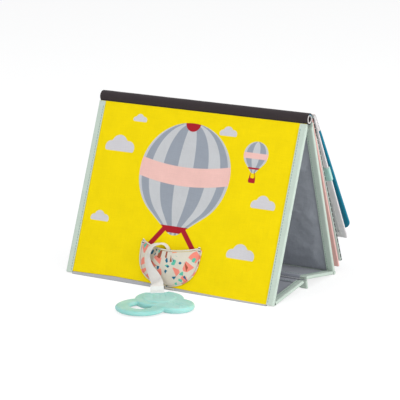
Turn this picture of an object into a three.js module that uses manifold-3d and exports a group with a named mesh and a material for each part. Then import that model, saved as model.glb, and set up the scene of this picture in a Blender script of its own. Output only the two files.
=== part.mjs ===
import * as THREE from "three";
import { mergeVertices } from "three/addons/utils/BufferGeometryUtils.js";
import Module from "manifold-3d";

// A padded cloth activity book that stands as a tent, in millimetres, +Z up.
// X runs along the spine and the front cover's foot lies toward -Y. The origin is on the floor,
// below the middle of the book with its teether.

const wasm = await Module();
wasm.setup();

const degree = Math.PI / 180;

// Book
const bookWidth = 250;
const coverLength = 182.6;
const frontLean = 21.8 * degree;
const rearLean = 18.3 * degree;

// Cloth layers and edge tape
const layerGap = 0.3;
const clothThickness = 0.4;
const boardThickness = 1.2;
const tapeThickness = 0.5;
const tapeWidth = 8;
const tapeStart = 5;
const boardStart = 8;

// Spine roll and the hinge lines below it
const spineRadius = 6;
const sleeveThickness = 1;
const liningRollThickness = 1.1;
const coreThickness = 1.3;
const rollInset = 1;
const hingeReach = 7;
const hingeDrop = 35 * degree;

// Feet and base flaps
const foldClearance = 0.15;
const creaseClearance = 0.05;
const floorClearance = 0.15;
const creaseFlat = 0.25;
const creaseStrip = 0.6;
const creaseStripHeight = 2.6;
const creaseFold = 1;
const flapBoardThickness = 0.8;
const frontFlapRise = 7 * degree;
const closureGap = 5;
const crestHeight = 10;
const crestForward = 0.5;
const crestOverhang = 3;

// Closure lip and its hook-and-loop strips
const lipLean = 13 * degree;
const lipBoardThickness = 1.2;
const lipTapeWidth = 4;
const stripThickness = 0.5;
const stripLength = 150;
const hookStripHeight = 5;
const loopStripHeight = 2.8;

// Leaves, from the rear cover outward
const pageThickness = 0.8;
const leafMargin = 1;
const leafPitch = 1.8;
const rootDepth = 6;
const rootStep = 1.5;
const squareCorner = 1.5;
const roundCorner = 10;
const pinkLength = 188.7;
const mintLength = 186.5;
const greyLength = 173.4;
const tealLength = 171;
const bindingThickness = 0.4;
const bindingWidth = 8;
const bindingStart = 27;
const leaves = [
  { angle: 21.3 * degree, length: pinkLength, corner: squareCorner, colour: 0xe0a8a5, page: 0xe6e2de },
  { angle: 22.9 * degree, length: mintLength, corner: squareCorner, colour: 0xb5d3c8, page: 0xd8dcd9 },
  { angle: 29.3 * degree, length: greyLength, corner: squareCorner, colour: 0xcfc9cb, page: 0xe4dfe0 },
  { angle: 32.4 * degree, length: tealLength, corner: roundCorner, colour: 0x007a94, page: 0xe3c4c0 },
];
const tabLeaf = 3;
const tabStart = 74;
const tabHeight = 17;
const tabReach = 9;
const tabThickness = 0.5;

// Pocket on the front cover
const pocketCentre = -3.2;
const pocketWidth = 71;
const pocketTop = 142.3;
const pocketSag = 7.8;
const pocketFoot = 184.2;
const pocketFullness = 3.4;
const pocketBulge = 8.5;
const pocketCloth = 0.8;
const hemRadius = 0.9;
const hemInset = 1;
const pipingRadius = 0.7;
const pipingMargin = 0.2;
const pipingSlack = 0.4;
const tackWidth = 2;
const tackHeight = 5;
const tackThickness = 0.8;
const tackRise = 1.5;
const footTabAcross = 2;
const footTabWidth = 10.5;
const footTabHeight = 2;
const footTabThickness = 0.8;

// Ribbon
const ribbonWidth = 15;
const ribbonThickness = 0.8;
const endLoopBore = 2.4;
const endLoopWall = 0.8;
const endTailReach = 12;
const endTailThickness = 1.6;
const endTailRise = 23 * degree;

// Teether: the bar that carries it, and its lobes round that bar
const barAcross = 7;
const barForward = 105;
const barTurn = 33.7 * degree;
const barRadius = 2;
const teetherThickness = 7;
const teetherEdge = 2;
const notchWidth = 19;
const notchFront = 5;
const discRadius = 25.2;
const discAcross = 1.2;
const discForward = 21.7;
const ringRadius = 26;
const ringBore = 10.5;
const ringAcross = -18;
const ringForward = 43.5;
const leafLobeRadius = 19;
const leafLobeAcross = 16.7;
const leafLobeForward = 42;

// Distances through the covers, from the cloth's middle to the back of the edge tape
const tapeFace = clothThickness / 2 + layerGap + tapeThickness;
const boardFace = clothThickness / 2 + layerGap;
const liningFace = boardFace + boardThickness + layerGap;
const coverBack = liningFace + clothThickness + layerGap + tapeThickness;
const flapCore = flapBoardThickness + 2 * (layerGap + clothThickness);
const flapThickness = flapCore + 2 * (layerGap + tapeThickness);
const lipThickness = lipBoardThickness + 2 * (layerGap + tapeThickness);
const edgeInset = tapeThickness + layerGap;

// Heights of the feet, the spine and the hinge lines
const frontFootInset = coverBack + foldClearance;
const frontFootHeight = foldClearance + flapThickness + floorClearance;
const hingeHeight =
  frontFootHeight + frontFootInset * Math.sin(frontLean) + coverLength * Math.cos(frontLean);
const hingeOffset = hingeReach * Math.cos(hingeDrop);
const spineHeight = hingeHeight + hingeReach * Math.sin(hingeDrop);
const creaseRadius = (coverBack + tapeFace) / 2;
const rearFootInset = coverBack - creaseRadius;
const rearFootHeight = creaseRadius - creaseFlat;
const rearLength =
  (hingeHeight - rearFootInset * Math.sin(rearLean) - rearFootHeight) / Math.cos(rearLean);

// Materials
const cloth = (colour) => new THREE.MeshStandardMaterial({ color: colour, roughness: 0.9, metalness: 0 });
const printCloth = cloth(0xf2d40f);
const liningCloth = cloth(0x80848f);
const baseCloth = cloth(0x9a9ca8);
const board = cloth(0xb9b4a8);
const mintTape = cloth(0xcadfd3);
const spineCloth = cloth(0x3c3536);
const paleCloth = cloth(0xe9e7e4);
const pocketPrint = cloth(0xd5cdbc);
const redThread = cloth(0xa8202a);
const ribbonCloth = cloth(0xedebec);
const silicone = new THREE.MeshStandardMaterial({ color: 0x7fd3c7, roughness: 0.45, metalness: 0 });

// Scene tree: each pivot group turns about X at its hinge line, and its panel hangs toward -Z
const book = new THREE.Group();

function pivot(parent, y, z, angle) {
  const group = new THREE.Group();
  group.position.set(0, y, z);
  group.rotation.x = angle;
  parent.add(group);
  return group;
}

function piece(parent, name, geometry, material) {
  const mesh = new THREE.Mesh(geometry, material);
  mesh.name = name;
  parent.add(mesh);
  return mesh;
}

// Outlines
const polygon = (points) => new THREE.Shape(points.map(([x, y]) => new THREE.Vector2(x, y)));

function rectangle(xLow, xHigh, yLow, yHigh) {
  return polygon([[xLow, yLow], [xHigh, yLow], [xHigh, yHigh], [xLow, yHigh]]);
}

function roundedFoot(halfWidth, start, end, radius) {
  const shape = new THREE.Shape();
  shape.moveTo(-halfWidth, -start);
  shape.lineTo(-halfWidth, -end + radius);
  shape.absarc(-halfWidth + radius, -end + radius, radius, Math.PI, 1.5 * Math.PI, false);
  shape.lineTo(halfWidth - radius, -end);
  shape.absarc(halfWidth - radius, -end + radius, radius, 1.5 * Math.PI, 2 * Math.PI, false);
  shape.lineTo(halfWidth, -start);
  return shape;
}

// Solids: a flat slab from an X-Z outline, a bar along X from a Y-Z profile, and a tube on a curve
function slab(outline, yLow, yHigh) {
  const geometry = new THREE.ExtrudeGeometry(outline, {
    depth: yHigh - yLow, bevelEnabled: false, curveSegments: 6,
  });
  geometry.rotateX(Math.PI / 2);
  geometry.translate(0, yHigh, 0);
  return geometry;
}

function bar(profile, xLow, xHigh, curveSegments = 24) {
  const geometry = new THREE.ExtrudeGeometry(profile, {
    depth: xHigh - xLow, bevelEnabled: false, curveSegments,
  });
  const alongX = new THREE.Matrix4().makeBasis(
    new THREE.Vector3(0, 1, 0), new THREE.Vector3(0, 0, 1), new THREE.Vector3(1, 0, 0),
  );
  geometry.applyMatrix4(alongX);
  geometry.translate(xLow, 0, 0);
  return geometry;
}

function tube(points, radius, steps) {
  const section = new THREE.Shape();
  section.absarc(0, 0, radius, 0, 2 * Math.PI, false);
  return new THREE.ExtrudeGeometry(section, {
    steps, curveSegments: 4, bevelEnabled: false, extrudePath: new THREE.CatmullRomCurve3(points),
  });
}

function ringProfile(outer, inner) {
  const shape = new THREE.Shape();
  shape.absarc(0, 0, outer, 0, 2 * Math.PI, false);
  const bore = new THREE.Path();
  bore.absarc(0, 0, inner, 0, 2 * Math.PI, true);
  shape.holes.push(bore);
  return shape;
}

// Boolean joins and cuts
function solid(geometry) {
  const bare = geometry.clone();
  bare.deleteAttribute("normal");
  bare.deleteAttribute("uv");
  const merged = mergeVertices(bare, 1e-4);
  const mesh = new wasm.Mesh({
    numProp: 3,
    vertProperties: new Float32Array(merged.attributes.position.array),
    triVerts: new Uint32Array(merged.index.array),
  });
  return new wasm.Manifold(mesh);
}

function geometryOf(manifold) {
  const mesh = manifold.getMesh();
  const geometry = new THREE.BufferGeometry();
  geometry.setAttribute("position", new THREE.BufferAttribute(mesh.vertProperties, 3));
  geometry.setIndex(new THREE.BufferAttribute(mesh.triVerts, 1));
  geometry.computeVertexNormals();
  return geometry;
}

// A closed skin between two grids of points that share their layout
function shell(columns, rows, outerPoint, innerPoint) {
  const positions = [];
  const triangles = [];
  const size = (columns + 1) * (rows + 1);
  for (const point of [outerPoint, innerPoint]) {
    for (let row = 0; row <= rows; row++) {
      for (let column = 0; column <= columns; column++) {
        positions.push(...point(column / columns, row / rows));
      }
    }
  }
  const at = (side, row, column) => side * size + row * (columns + 1) + column;
  const quad = (a, b, c, d) => triangles.push(a, b, c, a, c, d);
  for (let row = 0; row < rows; row++) {
    for (let column = 0; column < columns; column++) {
      quad(at(0, row, column), at(0, row + 1, column), at(0, row + 1, column + 1), at(0, row, column + 1));
      quad(at(1, row, column), at(1, row, column + 1), at(1, row + 1, column + 1), at(1, row + 1, column));
    }
  }
  for (let column = 0; column < columns; column++) {
    quad(at(0, 0, column), at(0, 0, column + 1), at(1, 0, column + 1), at(1, 0, column));
    quad(at(0, rows, column + 1), at(0, rows, column), at(1, rows, column), at(1, rows, column + 1));
  }
  for (let row = 0; row < rows; row++) {
    quad(at(0, row + 1, 0), at(0, row, 0), at(1, row, 0), at(1, row + 1, 0));
    quad(at(0, row, columns), at(0, row + 1, columns), at(1, row + 1, columns), at(1, row, columns));
  }
  const geometry = new THREE.BufferGeometry();
  geometry.setAttribute("position", new THREE.Float32BufferAttribute(positions, 3));
  geometry.setIndex(triangles);
  geometry.computeVertexNormals();
  return geometry;
}

// Edge tapes folded round both sides of a panel, and the same fold along its end
function sideTapes(group, prefix, yLow, yHigh, start, end) {
  for (const [name, side] of [["left", -1], ["right", 1]]) {
    const edge = side * bookWidth / 2;
    const inner = edge - side * tapeWidth;
    const fold = edge - side * tapeThickness;
    const section = polygon([
      [inner, yLow], [edge, yLow], [edge, yHigh], [inner, yHigh],
      [inner, yHigh - tapeThickness], [fold, yHigh - tapeThickness],
      [fold, yLow + tapeThickness], [inner, yLow + tapeThickness],
    ]);
    const geometry = new THREE.ExtrudeGeometry(section, { depth: end - start, bevelEnabled: false });
    geometry.translate(0, 0, -end);
    piece(group, `${prefix}_binding_${name}`, geometry, mintTape);
  }
}

function endTape(group, name, yLow, yHigh, end, width) {
  const profile = polygon([
    [yLow, -end + width], [yLow, -end], [yHigh, -end], [yHigh, -end + width],
    [yHigh - tapeThickness, -end + width], [yHigh - tapeThickness, -end + tapeThickness],
    [yLow + tapeThickness, -end + tapeThickness], [yLow + tapeThickness, -end + width],
  ]);
  piece(group, name, bar(profile, -betweenTapes, betweenTapes), mintTape);
}

// Spine
function buildSpine() {
  const group = pivot(book, 0, spineHeight, 0);
  const half = bookWidth / 2;
  const liningOuter = spineRadius - sleeveThickness - layerGap;
  const coreOuter = liningOuter - liningRollThickness - layerGap;
  const sleeve = ringProfile(spineRadius, spineRadius - sleeveThickness);
  const lining = ringProfile(liningOuter, liningOuter - liningRollThickness);
  const core = ringProfile(coreOuter, coreOuter - coreThickness);
  piece(group, "spine_sleeve", bar(sleeve, -half, half, 18), spineCloth);
  piece(group, "spine_lining_roll", bar(lining, rollInset - half, half - rollInset, 12), paleCloth);
  piece(group, "spine_core", bar(core, 2 * rollInset - half, half - 2 * rollInset, 10), spineCloth);
}

// Front cover
const frontFloor = (y) => (hingeHeight - y * Math.sin(frontLean)) / Math.cos(frontLean);
const innerHalf = bookWidth / 2 - edgeInset;
const betweenTapes = bookWidth / 2 - tapeWidth - layerGap;
const frontCreaseTop = coverLength - creaseFold;
const frontClothEnd = frontFloor(0) - creaseStripHeight;

function buildFrontCover() {
  const group = pivot(book, -hingeOffset, hingeHeight, -frontLean);
  const half = clothThickness / 2;
  const layersEnd = frontCreaseTop - layerGap;
  const outside = rectangle(-innerHalf, innerHalf, -frontClothEnd, 0);
  piece(group, "front_cover_cloth", slab(outside, -half, half), printCloth);
  const inside = rectangle(-innerHalf, innerHalf, -layersEnd, -boardStart);
  piece(group, "front_cover_board", slab(inside, boardFace, boardFace + boardThickness), board);
  piece(group, "front_cover_lining", slab(inside, liningFace, liningFace + clothThickness), liningCloth);
  const tapeEnd = frontFloor(coverBack) - 2 * layerGap;
  sideTapes(group, "front_cover", -tapeFace, coverBack, tapeStart, tapeEnd);
  const back = coverBack - foldClearance - creaseClearance;
  const stripTop = frontClothEnd + layerGap;
  const profile = polygon([
    [boardFace, -frontCreaseTop], [back, -frontCreaseTop], [back, -frontFloor(back)],
    [-creaseStrip, -frontFloor(-creaseStrip)], [-creaseStrip, -stripTop], [boardFace, -stripTop],
  ]);
  piece(group, "front_cover_crease", bar(profile, -betweenTapes, betweenTapes), baseCloth);
  return group;
}

// Pocket: a half round of cloth that stands off the cover at its mouth
function buildPocket(group) {
  const halfWidth = pocketWidth / 2;
  const mouth = (u) => pocketTop + pocketSag * (1 - u * u);
  const halfAt = (v) => halfWidth * Math.pow(1 - Math.pow(v, pocketFullness), 0.5);
  const bulge = (u, v) => pocketBulge * (1 - u * u) * Math.pow(1 - v * v, 0.8);
  const lastRow = 0.99;
  const face = clothThickness / 2 + layerGap;
  const place = (offset) => (across, down) => {
    const u = 2 * across - 1;
    const v = lastRow * Math.sin(down * Math.PI / 2);
    const s = mouth(u) + (pocketFoot - mouth(u)) * v;
    return [pocketCentre + u * halfAt(v), -(face + bulge(u, v) + offset), -s];
  };
  piece(group, "pocket_pouch", shell(22, 12, place(pocketCloth), place(0)), pocketPrint);

  const hemOffset = clothThickness / 2 + layerGap + hemRadius;
  const hem = [];
  for (let step = 0; step <= 12; step++) {
    const u = (halfWidth - hemInset) / halfWidth * (step / 6 - 1);
    const lift = hemRadius + layerGap;
    hem.push(new THREE.Vector3(pocketCentre + u * halfWidth, -hemOffset - bulge(u, 0), lift - mouth(u)));
  }
  piece(group, "pocket_mouth_hem", tube(hem, hemRadius, 24), paleCloth);

  const pipingOffset = clothThickness / 2 + layerGap + pipingRadius;
  const spread = pipingRadius + layerGap + pipingMargin;
  const pipingStart = mouth(1) + tackHeight;
  const piping = [];
  for (let step = 0; step <= 32; step++) {
    const turn = Math.PI * step / 32;
    const v = Math.sin(turn);
    const s = pipingStart + (pocketFoot + spread - pipingStart) * v;
    const depth = Math.max(0, (s - spread * v - mouth(1)) / (pocketFoot - mouth(1)));
    const reach = halfAt(Math.min(depth, 1)) + spread * Math.abs(Math.cos(turn)) + pipingSlack;
    const side = Math.cos(turn) > 0 ? -1 : 1;
    const x = pocketCentre + (step === 16 ? 0 : side * reach);
    piping.push(new THREE.Vector3(x, -pipingOffset, -s));
  }
  piece(group, "pocket_edge_piping", tube(piping, pipingRadius, 64), pocketPrint);

  for (const [name, side] of [["left", -1], ["right", 1]]) {
    const x = pocketCentre + side * (halfWidth + spread + tackWidth / 2);
    const tackTop = -pocketTop + tackRise;
    const tack = rectangle(x - tackWidth / 2, x + tackWidth / 2, tackTop - tackHeight, tackTop);
    piece(group, `pocket_bartack_${name}`, slab(tack, -face - tackThickness, -face), redThread);
  }

  const tabTop = pocketFoot + spread + pipingRadius + layerGap;
  const tabLeft = pocketCentre + footTabAcross;
  const tab = rectangle(tabLeft, tabLeft + footTabWidth, -tabTop - footTabHeight, -tabTop);
  const tabFace = creaseStrip + layerGap;
  piece(group, "pocket_foot_tab", slab(tab, -tabFace - footTabThickness, -tabFace), pocketPrint);
}

// Ribbon route in the front cover's frame: across, distance below the hinge line, distance off the
// cover, width of the folded ribbon there, and its turn from flat against the cover to edge-on
const ribbonRoute = [
  [-3.6, 160.2, 1.5, 8, 0],
  [-3.9, 152.5, 2.6, 8.5, -8],
  [-5.4, 146.2, 4.4, 9, -15],
  [-8.6, 143.6, 6.6, 8.5, -40],
  [-12.8, 143.7, 9.2, 10, -52],
  [-17.8, 146, 12.6, 11.5, -45],
  [-21.9, 152.2, 12.8, 12, -33],
  [-23.5, 158.8, 10.6, 12, -26],
  [-22.1, 164.9, 9.6, 12.5, -24],
  [-17.8, 171.1, 9.6, 13, -15],
  [-12.2, 176.7, 10, 14, -5],
  [-7.8, 181.5, 10.6, 15, 0],
];

function buildRibbon(group) {
  const centres = ribbonRoute.map(([x, s, off]) => new THREE.Vector3(x, -off, -s));
  const widths = ribbonRoute.map(([, , , width]) => width);
  const turns = ribbonRoute.map(([, , , , turn]) => turn);
  group.updateWorldMatrix(true, false);
  for (const reach of [endTailReach + 5, endTailReach + layerGap]) {
    centres.push(group.worldToLocal(tailPoint(reach)));
    widths.push(ribbonWidth);
    turns.push(0);
  }
  const curve = new THREE.CatmullRomCurve3(centres);
  const steps = 56;
  const between = (list, share) => {
    const place = share * (list.length - 1);
    const low = Math.min(Math.floor(place), list.length - 2);
    return THREE.MathUtils.lerp(list[low], list[low + 1], place - low);
  };
  const coverNormal = new THREE.Vector3(0, -1, 0);
  const acrossEnd = new THREE.Vector3(Math.cos(barTurn), Math.sin(barTurn), 0);
  acrossEnd.transformDirection(group.matrixWorld.clone().invert());
  const corners = (share) => {
    const centre = curve.getPoint(share);
    const tangent = curve.getTangent(share);
    const flat = new THREE.Vector3().crossVectors(tangent, coverNormal).normalize();
    const edgeOn = new THREE.Vector3().crossVectors(flat, tangent).normalize();
    const turn = between(turns, share) * degree;
    const across = flat.multiplyScalar(Math.cos(turn)).addScaledVector(edgeOn, Math.sin(turn));
    const blend = THREE.MathUtils.smoothstep(share, 0.82, 1);
    const facing = across.dot(acrossEnd) < 0 ? -1 : 1;
    across.lerp(acrossEnd.clone().multiplyScalar(facing), blend);
    across.addScaledVector(tangent, -across.dot(tangent)).normalize();
    const through = new THREE.Vector3().crossVectors(tangent, across);
    const half = between(widths, share) / 2;
    const skin = ribbonThickness / 2;
    return [[-half, -skin], [half, -skin], [half, skin], [-half, skin]].map(([a, t]) =>
      centre.clone().addScaledVector(across, a).addScaledVector(through, t));
  };
  const positions = [];
  for (let step = 0; step <= steps; step++) {
    for (const corner of corners(step / steps)) {
      positions.push(corner.x, corner.y, corner.z);
    }
  }
  const triangles = [0, 2, 1, 0, 3, 2];
  for (let step = 0; step < steps; step++) {
    for (let side = 0; side < 4; side++) {
      const a = 4 * step + side;
      const b = 4 * step + (side + 1) % 4;
      triangles.push(a, b, b + 4, a, b + 4, a + 4);
    }
  }
  const last = 4 * steps;
  triangles.push(last, last + 1, last + 2, last, last + 2, last + 3);
  const geometry = new THREE.BufferGeometry();
  geometry.setAttribute("position", new THREE.Float32BufferAttribute(positions, 3));
  geometry.setIndex(triangles);
  geometry.computeVertexNormals();
  piece(group, "teether_ribbon", geometry, ribbonCloth);
}

// Teether with its bar, and the ribbon's sewn end loop round the bar
function tailPoint(reach) {
  const level = reach * Math.cos(endTailRise);
  return new THREE.Vector3(
    barAcross - level * Math.sin(barTurn),
    -barForward + level * Math.cos(barTurn),
    teetherThickness / 2 + reach * Math.sin(endTailRise),
  );
}

function buildTeether() {
  const group = new THREE.Group();
  group.position.set(barAcross, -barForward, teetherThickness / 2);
  group.rotation.z = barTurn;
  book.add(group);
  const halfThickness = teetherThickness / 2;
  const lobe = (x, forward, radius) => {
    const outline = new THREE.Shape();
    outline.absarc(0, 0, radius, 0, 2 * Math.PI, false);
    const geometry = new THREE.ExtrudeGeometry(outline, {
      depth: teetherThickness - 2 * teetherEdge, bevelThickness: teetherEdge, bevelSize: teetherEdge,
      bevelOffset: -teetherEdge, bevelSegments: 3, curveSegments: 24,
    });
    geometry.translate(x, -forward, teetherEdge - halfThickness);
    return solid(geometry);
  };
  const bore = new THREE.CylinderGeometry(ringBore, ringBore, teetherThickness + 2, 40);
  bore.rotateX(Math.PI / 2);
  bore.translate(ringAcross, -ringForward, 0);
  const notch = new THREE.BoxGeometry(notchWidth, 2 * notchFront, teetherThickness + 2);
  const rod = new THREE.CylinderGeometry(barRadius, barRadius, notchWidth + 2, 20);
  rod.rotateZ(Math.PI / 2);
  const body = lobe(ringAcross, ringForward, ringRadius)
    .subtract(solid(bore))
    .add(lobe(discAcross, discForward, discRadius))
    .add(lobe(leafLobeAcross, leafLobeForward, leafLobeRadius))
    .subtract(solid(notch))
    .add(solid(rod));
  piece(group, "teether", geometryOf(body), silicone);

  const loopOuter = endLoopBore + endLoopWall;
  const open = Math.asin(endTailThickness / 2 / loopOuter);
  const profile = new THREE.Shape();
  profile.absarc(0, 0, loopOuter, endTailRise + open, endTailRise - open + 2 * Math.PI, false);
  for (const side of [-1, 1]) {
    const along = new THREE.Vector2(endTailReach, side * endTailThickness / 2);
    along.rotateAround(new THREE.Vector2(0, 0), endTailRise);
    profile.lineTo(along.x, along.y);
  }
  const eye = new THREE.Path();
  eye.absarc(0, 0, endLoopBore, 0, 2 * Math.PI, true);
  profile.holes.push(eye);
  piece(group, "ribbon_end_loop", bar(profile, -ribbonWidth / 2, ribbonWidth / 2, 20), ribbonCloth);
}

// Base flaps: cloth, board and cloth, with tape on the sides and round the end
function flapLayers(group, name, top, start, end, topMaterial) {
  const faces = rectangle(-innerHalf, innerHalf, -end, -start);
  const cores = [clothThickness, flapBoardThickness, clothThickness];
  const layers = ["top_cloth", "board", "under_cloth"];
  const materials = [topMaterial, board, baseCloth];
  let y = top;
  for (const [index, thickness] of cores.entries()) {
    piece(group, `${name}_${layers[index]}`, slab(faces, y - thickness, y), materials[index]);
    y -= thickness + layerGap;
  }
}

const crestY = -crestForward;
const lipFace = crestY - (foldClearance + lipThickness) * Math.cos(lipLean);
const frontFootY = -hingeOffset + frontFootInset * Math.cos(frontLean) - coverLength * Math.sin(frontLean);
const frontFlapLength =
  (lipFace - closureGap - layerGap - stripThickness - frontFootY) / Math.cos(frontFlapRise);

function buildFrontFlap() {
  const group = pivot(book, frontFootY, frontFootHeight, 90 * degree + frontFlapRise);
  const start = 2 * foldClearance;
  const top = -foldClearance;
  const bottom = top - flapThickness;
  flapLayers(group, "front_flap", top - edgeInset, start, frontFlapLength - edgeInset, baseCloth);
  sideTapes(group, "front_flap", bottom, top, start, frontFlapLength);
  endTape(group, "front_flap_binding_end", bottom, top, frontFlapLength, tapeWidth);
  const middle = (top + bottom) / 2;
  const stripStart = frontFlapLength + layerGap;
  const strip = rectangle(-stripLength / 2, stripLength / 2, -stripStart - stripThickness, -stripStart);
  const geometry = slab(strip, middle - loopStripHeight / 2, middle + loopStripHeight / 2);
  piece(group, "front_flap_loop_strip", geometry, paleCloth);
}

// Rear cover
const rearLayersEnd = rearLength - creaseRadius - layerGap;

function buildRearCover() {
  const group = pivot(book, hingeOffset, hingeHeight, rearLean);
  const half = clothThickness / 2;
  const outside = rectangle(-innerHalf, innerHalf, -rearLayersEnd, 0);
  const inside = rectangle(-innerHalf, innerHalf, -rearLayersEnd, -boardStart);
  piece(group, "rear_cover_cloth", slab(outside, -half, half), paleCloth);
  piece(group, "rear_cover_board", slab(inside, -boardFace - boardThickness, -boardFace), board);
  piece(group, "rear_cover_lining", slab(inside, -liningFace - clothThickness, -liningFace), liningCloth);
  sideTapes(group, "rear_cover", -coverBack, tapeFace, tapeStart, rearLayersEnd);
  const flatHalf = Math.acos(rearFootHeight / creaseRadius);
  const down = -Math.PI / 2 - rearLean;
  const profile = new THREE.Shape();
  const arcEnd = down - flatHalf + 2 * Math.PI;
  profile.absarc(-rearFootInset, -rearLength, creaseRadius, down + flatHalf, arcEnd, false);
  piece(group, "rear_cover_crease", bar(profile, -bookWidth / 2, bookWidth / 2, 12), mintTape);
}

// Rear flap, from the rear foot up to the crest, and the closure lip that hangs from the crest
const rearFootY = hingeOffset - rearFootInset * Math.cos(rearLean) + rearLength * Math.sin(rearLean);
const crestInset = flapThickness / 2 + foldClearance;
const crestSpan = Math.hypot(crestY - rearFootY, crestHeight - rearFootHeight);
const crestDistance = Math.sqrt(crestSpan * crestSpan - crestInset * crestInset);
const rearFlapAngle =
  Math.atan2(crestY - rearFootY, rearFootHeight - crestHeight) - Math.atan2(crestInset, crestDistance);

function buildRearFlap() {
  const group = pivot(book, rearFootY, rearFootHeight, rearFlapAngle);
  const wedge = Math.PI + rearFlapAngle - rearLean;
  const start = (creaseRadius + flapThickness / 2 * Math.cos(wedge)) / Math.sin(wedge) + 2 * layerGap;
  const end = crestDistance + crestOverhang;
  const halfThickness = flapThickness / 2;
  flapLayers(group, "rear_flap", flapCore / 2, start, end - edgeInset, baseCloth);
  sideTapes(group, "rear_flap", -halfThickness, halfThickness, start, end);
  endTape(group, "rear_flap_crest_tape", -halfThickness, halfThickness, end, tapeWidth);
}

function buildClosureLip() {
  const group = pivot(book, crestY, crestHeight, lipLean);
  const start = 2 * foldClearance;
  const back = -foldClearance;
  const front = back - lipThickness;
  const drop = crestHeight - layerGap - (foldClearance + lipThickness) * Math.sin(lipLean);
  const length = drop / Math.cos(lipLean);
  const panel = rectangle(-innerHalf, innerHalf, -length + edgeInset, -start);
  piece(group, "closure_lip_panel", slab(panel, front + edgeInset, back - edgeInset), baseCloth);
  sideTapes(group, "closure_lip", front, back, start, length);
  endTape(group, "closure_lip_binding_end", front, back, length, lipTapeWidth);
  const middle = (start + length) / 2;
  const halfStrip = stripLength / 2;
  const halfHook = hookStripHeight / 2;
  const strip = rectangle(-halfStrip, halfStrip, -middle - halfHook, -middle + halfHook);
  const face = front - layerGap;
  piece(group, "closure_lip_hook_strip", slab(strip, face - stripThickness, face), paleCloth);
}

// Leaves: each page's root lies against the spine roll, one outside the other
function buildLeaf(number, { angle, length, corner, colour, page }) {
  const group = pivot(book, 0, spineHeight, angle);
  const middle = spineRadius + layerGap + pageThickness / 2 + leafPitch * (number - 1);
  const half = bookWidth / 2 - leafMargin;
  const start = rootStep * (number - 1);
  const inset = bindingThickness + layerGap;
  const slot = pageThickness / 2 + layerGap;
  const outer = slot + bindingThickness;
  const cover = (edge) => Math.max(corner - edge, 0.6);
  const sheet = roundedFoot(half - inset, start, length - inset, cover(inset));
  const face = middle - pageThickness / 2;
  const root = rectangle(-half + inset, half - inset, -start - rootDepth, -start);
  const seated = solid(slab(root, face, face + leafPitch - layerGap));
  const body = solid(slab(sheet, face, face + pageThickness)).add(seated);
  piece(group, `leaf_${number}_page`, geometryOf(body), cloth(page));
  const whole = slab(roundedFoot(half, bindingStart, length, corner), middle - outer, middle + outer);
  const within = (edge) => roundedFoot(half - edge, bindingStart - 1, length - edge, cover(edge));
  const channel = solid(whole)
    .subtract(solid(slab(within(bindingThickness), middle - slot, middle + slot)))
    .subtract(solid(slab(within(bindingWidth), middle - outer - 1, middle + outer + 1)));
  piece(group, `leaf_${number}_binding`, geometryOf(channel), cloth(colour));
  if (number === tabLeaf) {
    const inside = outer + layerGap;
    const outside = inside + tabThickness;
    const fold = half + layerGap;
    const section = polygon([
      [fold + tabThickness - tabReach, middle - outside], [fold + tabThickness, middle - outside],
      [fold + tabThickness, middle + outside], [fold + tabThickness - tabReach, middle + outside],
      [fold + tabThickness - tabReach, middle + inside], [fold, middle + inside],
      [fold, middle - inside], [fold + tabThickness - tabReach, middle - inside],
    ]);
    const tab = new THREE.ExtrudeGeometry(section, { depth: tabHeight, bevelEnabled: false });
    tab.translate(0, 0, -tabStart - tabHeight);
    piece(group, `leaf_${number}_ribbon_tab`, tab, mintTape);
  }
}

buildSpine();
const frontCover = buildFrontCover();
buildPocket(frontCover);
buildRibbon(frontCover);
buildTeether();
buildFrontFlap();
buildRearCover();
buildRearFlap();
buildClosureLip();
leaves.forEach((leaf, index) => buildLeaf(index + 1, leaf));

// The origin goes to the middle of the book's footprint, which leaves the loose ribbon out
book.updateWorldMatrix(true, true);
const footprint = new THREE.Box3();
book.traverse((object) => {
  if (object.isMesh && object.name !== "teether_ribbon") {
    footprint.expandByObject(object, true);
  }
});
const centre = footprint.getCenter(new THREE.Vector3());
book.position.set(-centre.x, -centre.y, 0);

export default book;
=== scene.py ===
import math
import bmesh
import bpy
import numpy as np
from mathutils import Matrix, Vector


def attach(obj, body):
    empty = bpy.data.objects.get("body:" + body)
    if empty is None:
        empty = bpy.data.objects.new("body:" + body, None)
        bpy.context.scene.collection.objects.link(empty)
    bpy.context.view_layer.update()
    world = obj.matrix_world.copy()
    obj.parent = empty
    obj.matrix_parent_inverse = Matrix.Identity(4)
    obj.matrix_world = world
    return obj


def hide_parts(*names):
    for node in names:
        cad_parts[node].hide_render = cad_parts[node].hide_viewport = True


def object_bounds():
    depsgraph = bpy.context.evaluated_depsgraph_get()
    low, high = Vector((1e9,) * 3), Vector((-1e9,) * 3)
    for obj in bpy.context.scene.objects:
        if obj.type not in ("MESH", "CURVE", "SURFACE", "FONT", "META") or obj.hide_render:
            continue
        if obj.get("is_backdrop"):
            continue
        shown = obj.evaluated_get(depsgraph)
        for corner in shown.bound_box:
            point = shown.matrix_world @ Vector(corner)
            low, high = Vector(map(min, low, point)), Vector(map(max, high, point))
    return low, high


# A padded cloth activity book that stands as a tent. Panel pieces are worked out in the panel's own
# millimetres, across, off the panel and down from its hinge line, and placed in the row frame in metres.

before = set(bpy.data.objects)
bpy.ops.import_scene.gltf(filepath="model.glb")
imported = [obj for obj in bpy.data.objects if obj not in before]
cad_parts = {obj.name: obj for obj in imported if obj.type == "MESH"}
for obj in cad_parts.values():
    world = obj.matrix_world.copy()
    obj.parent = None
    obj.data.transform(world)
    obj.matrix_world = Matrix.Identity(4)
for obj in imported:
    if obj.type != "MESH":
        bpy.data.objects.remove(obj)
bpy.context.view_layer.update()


# Placing

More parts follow.
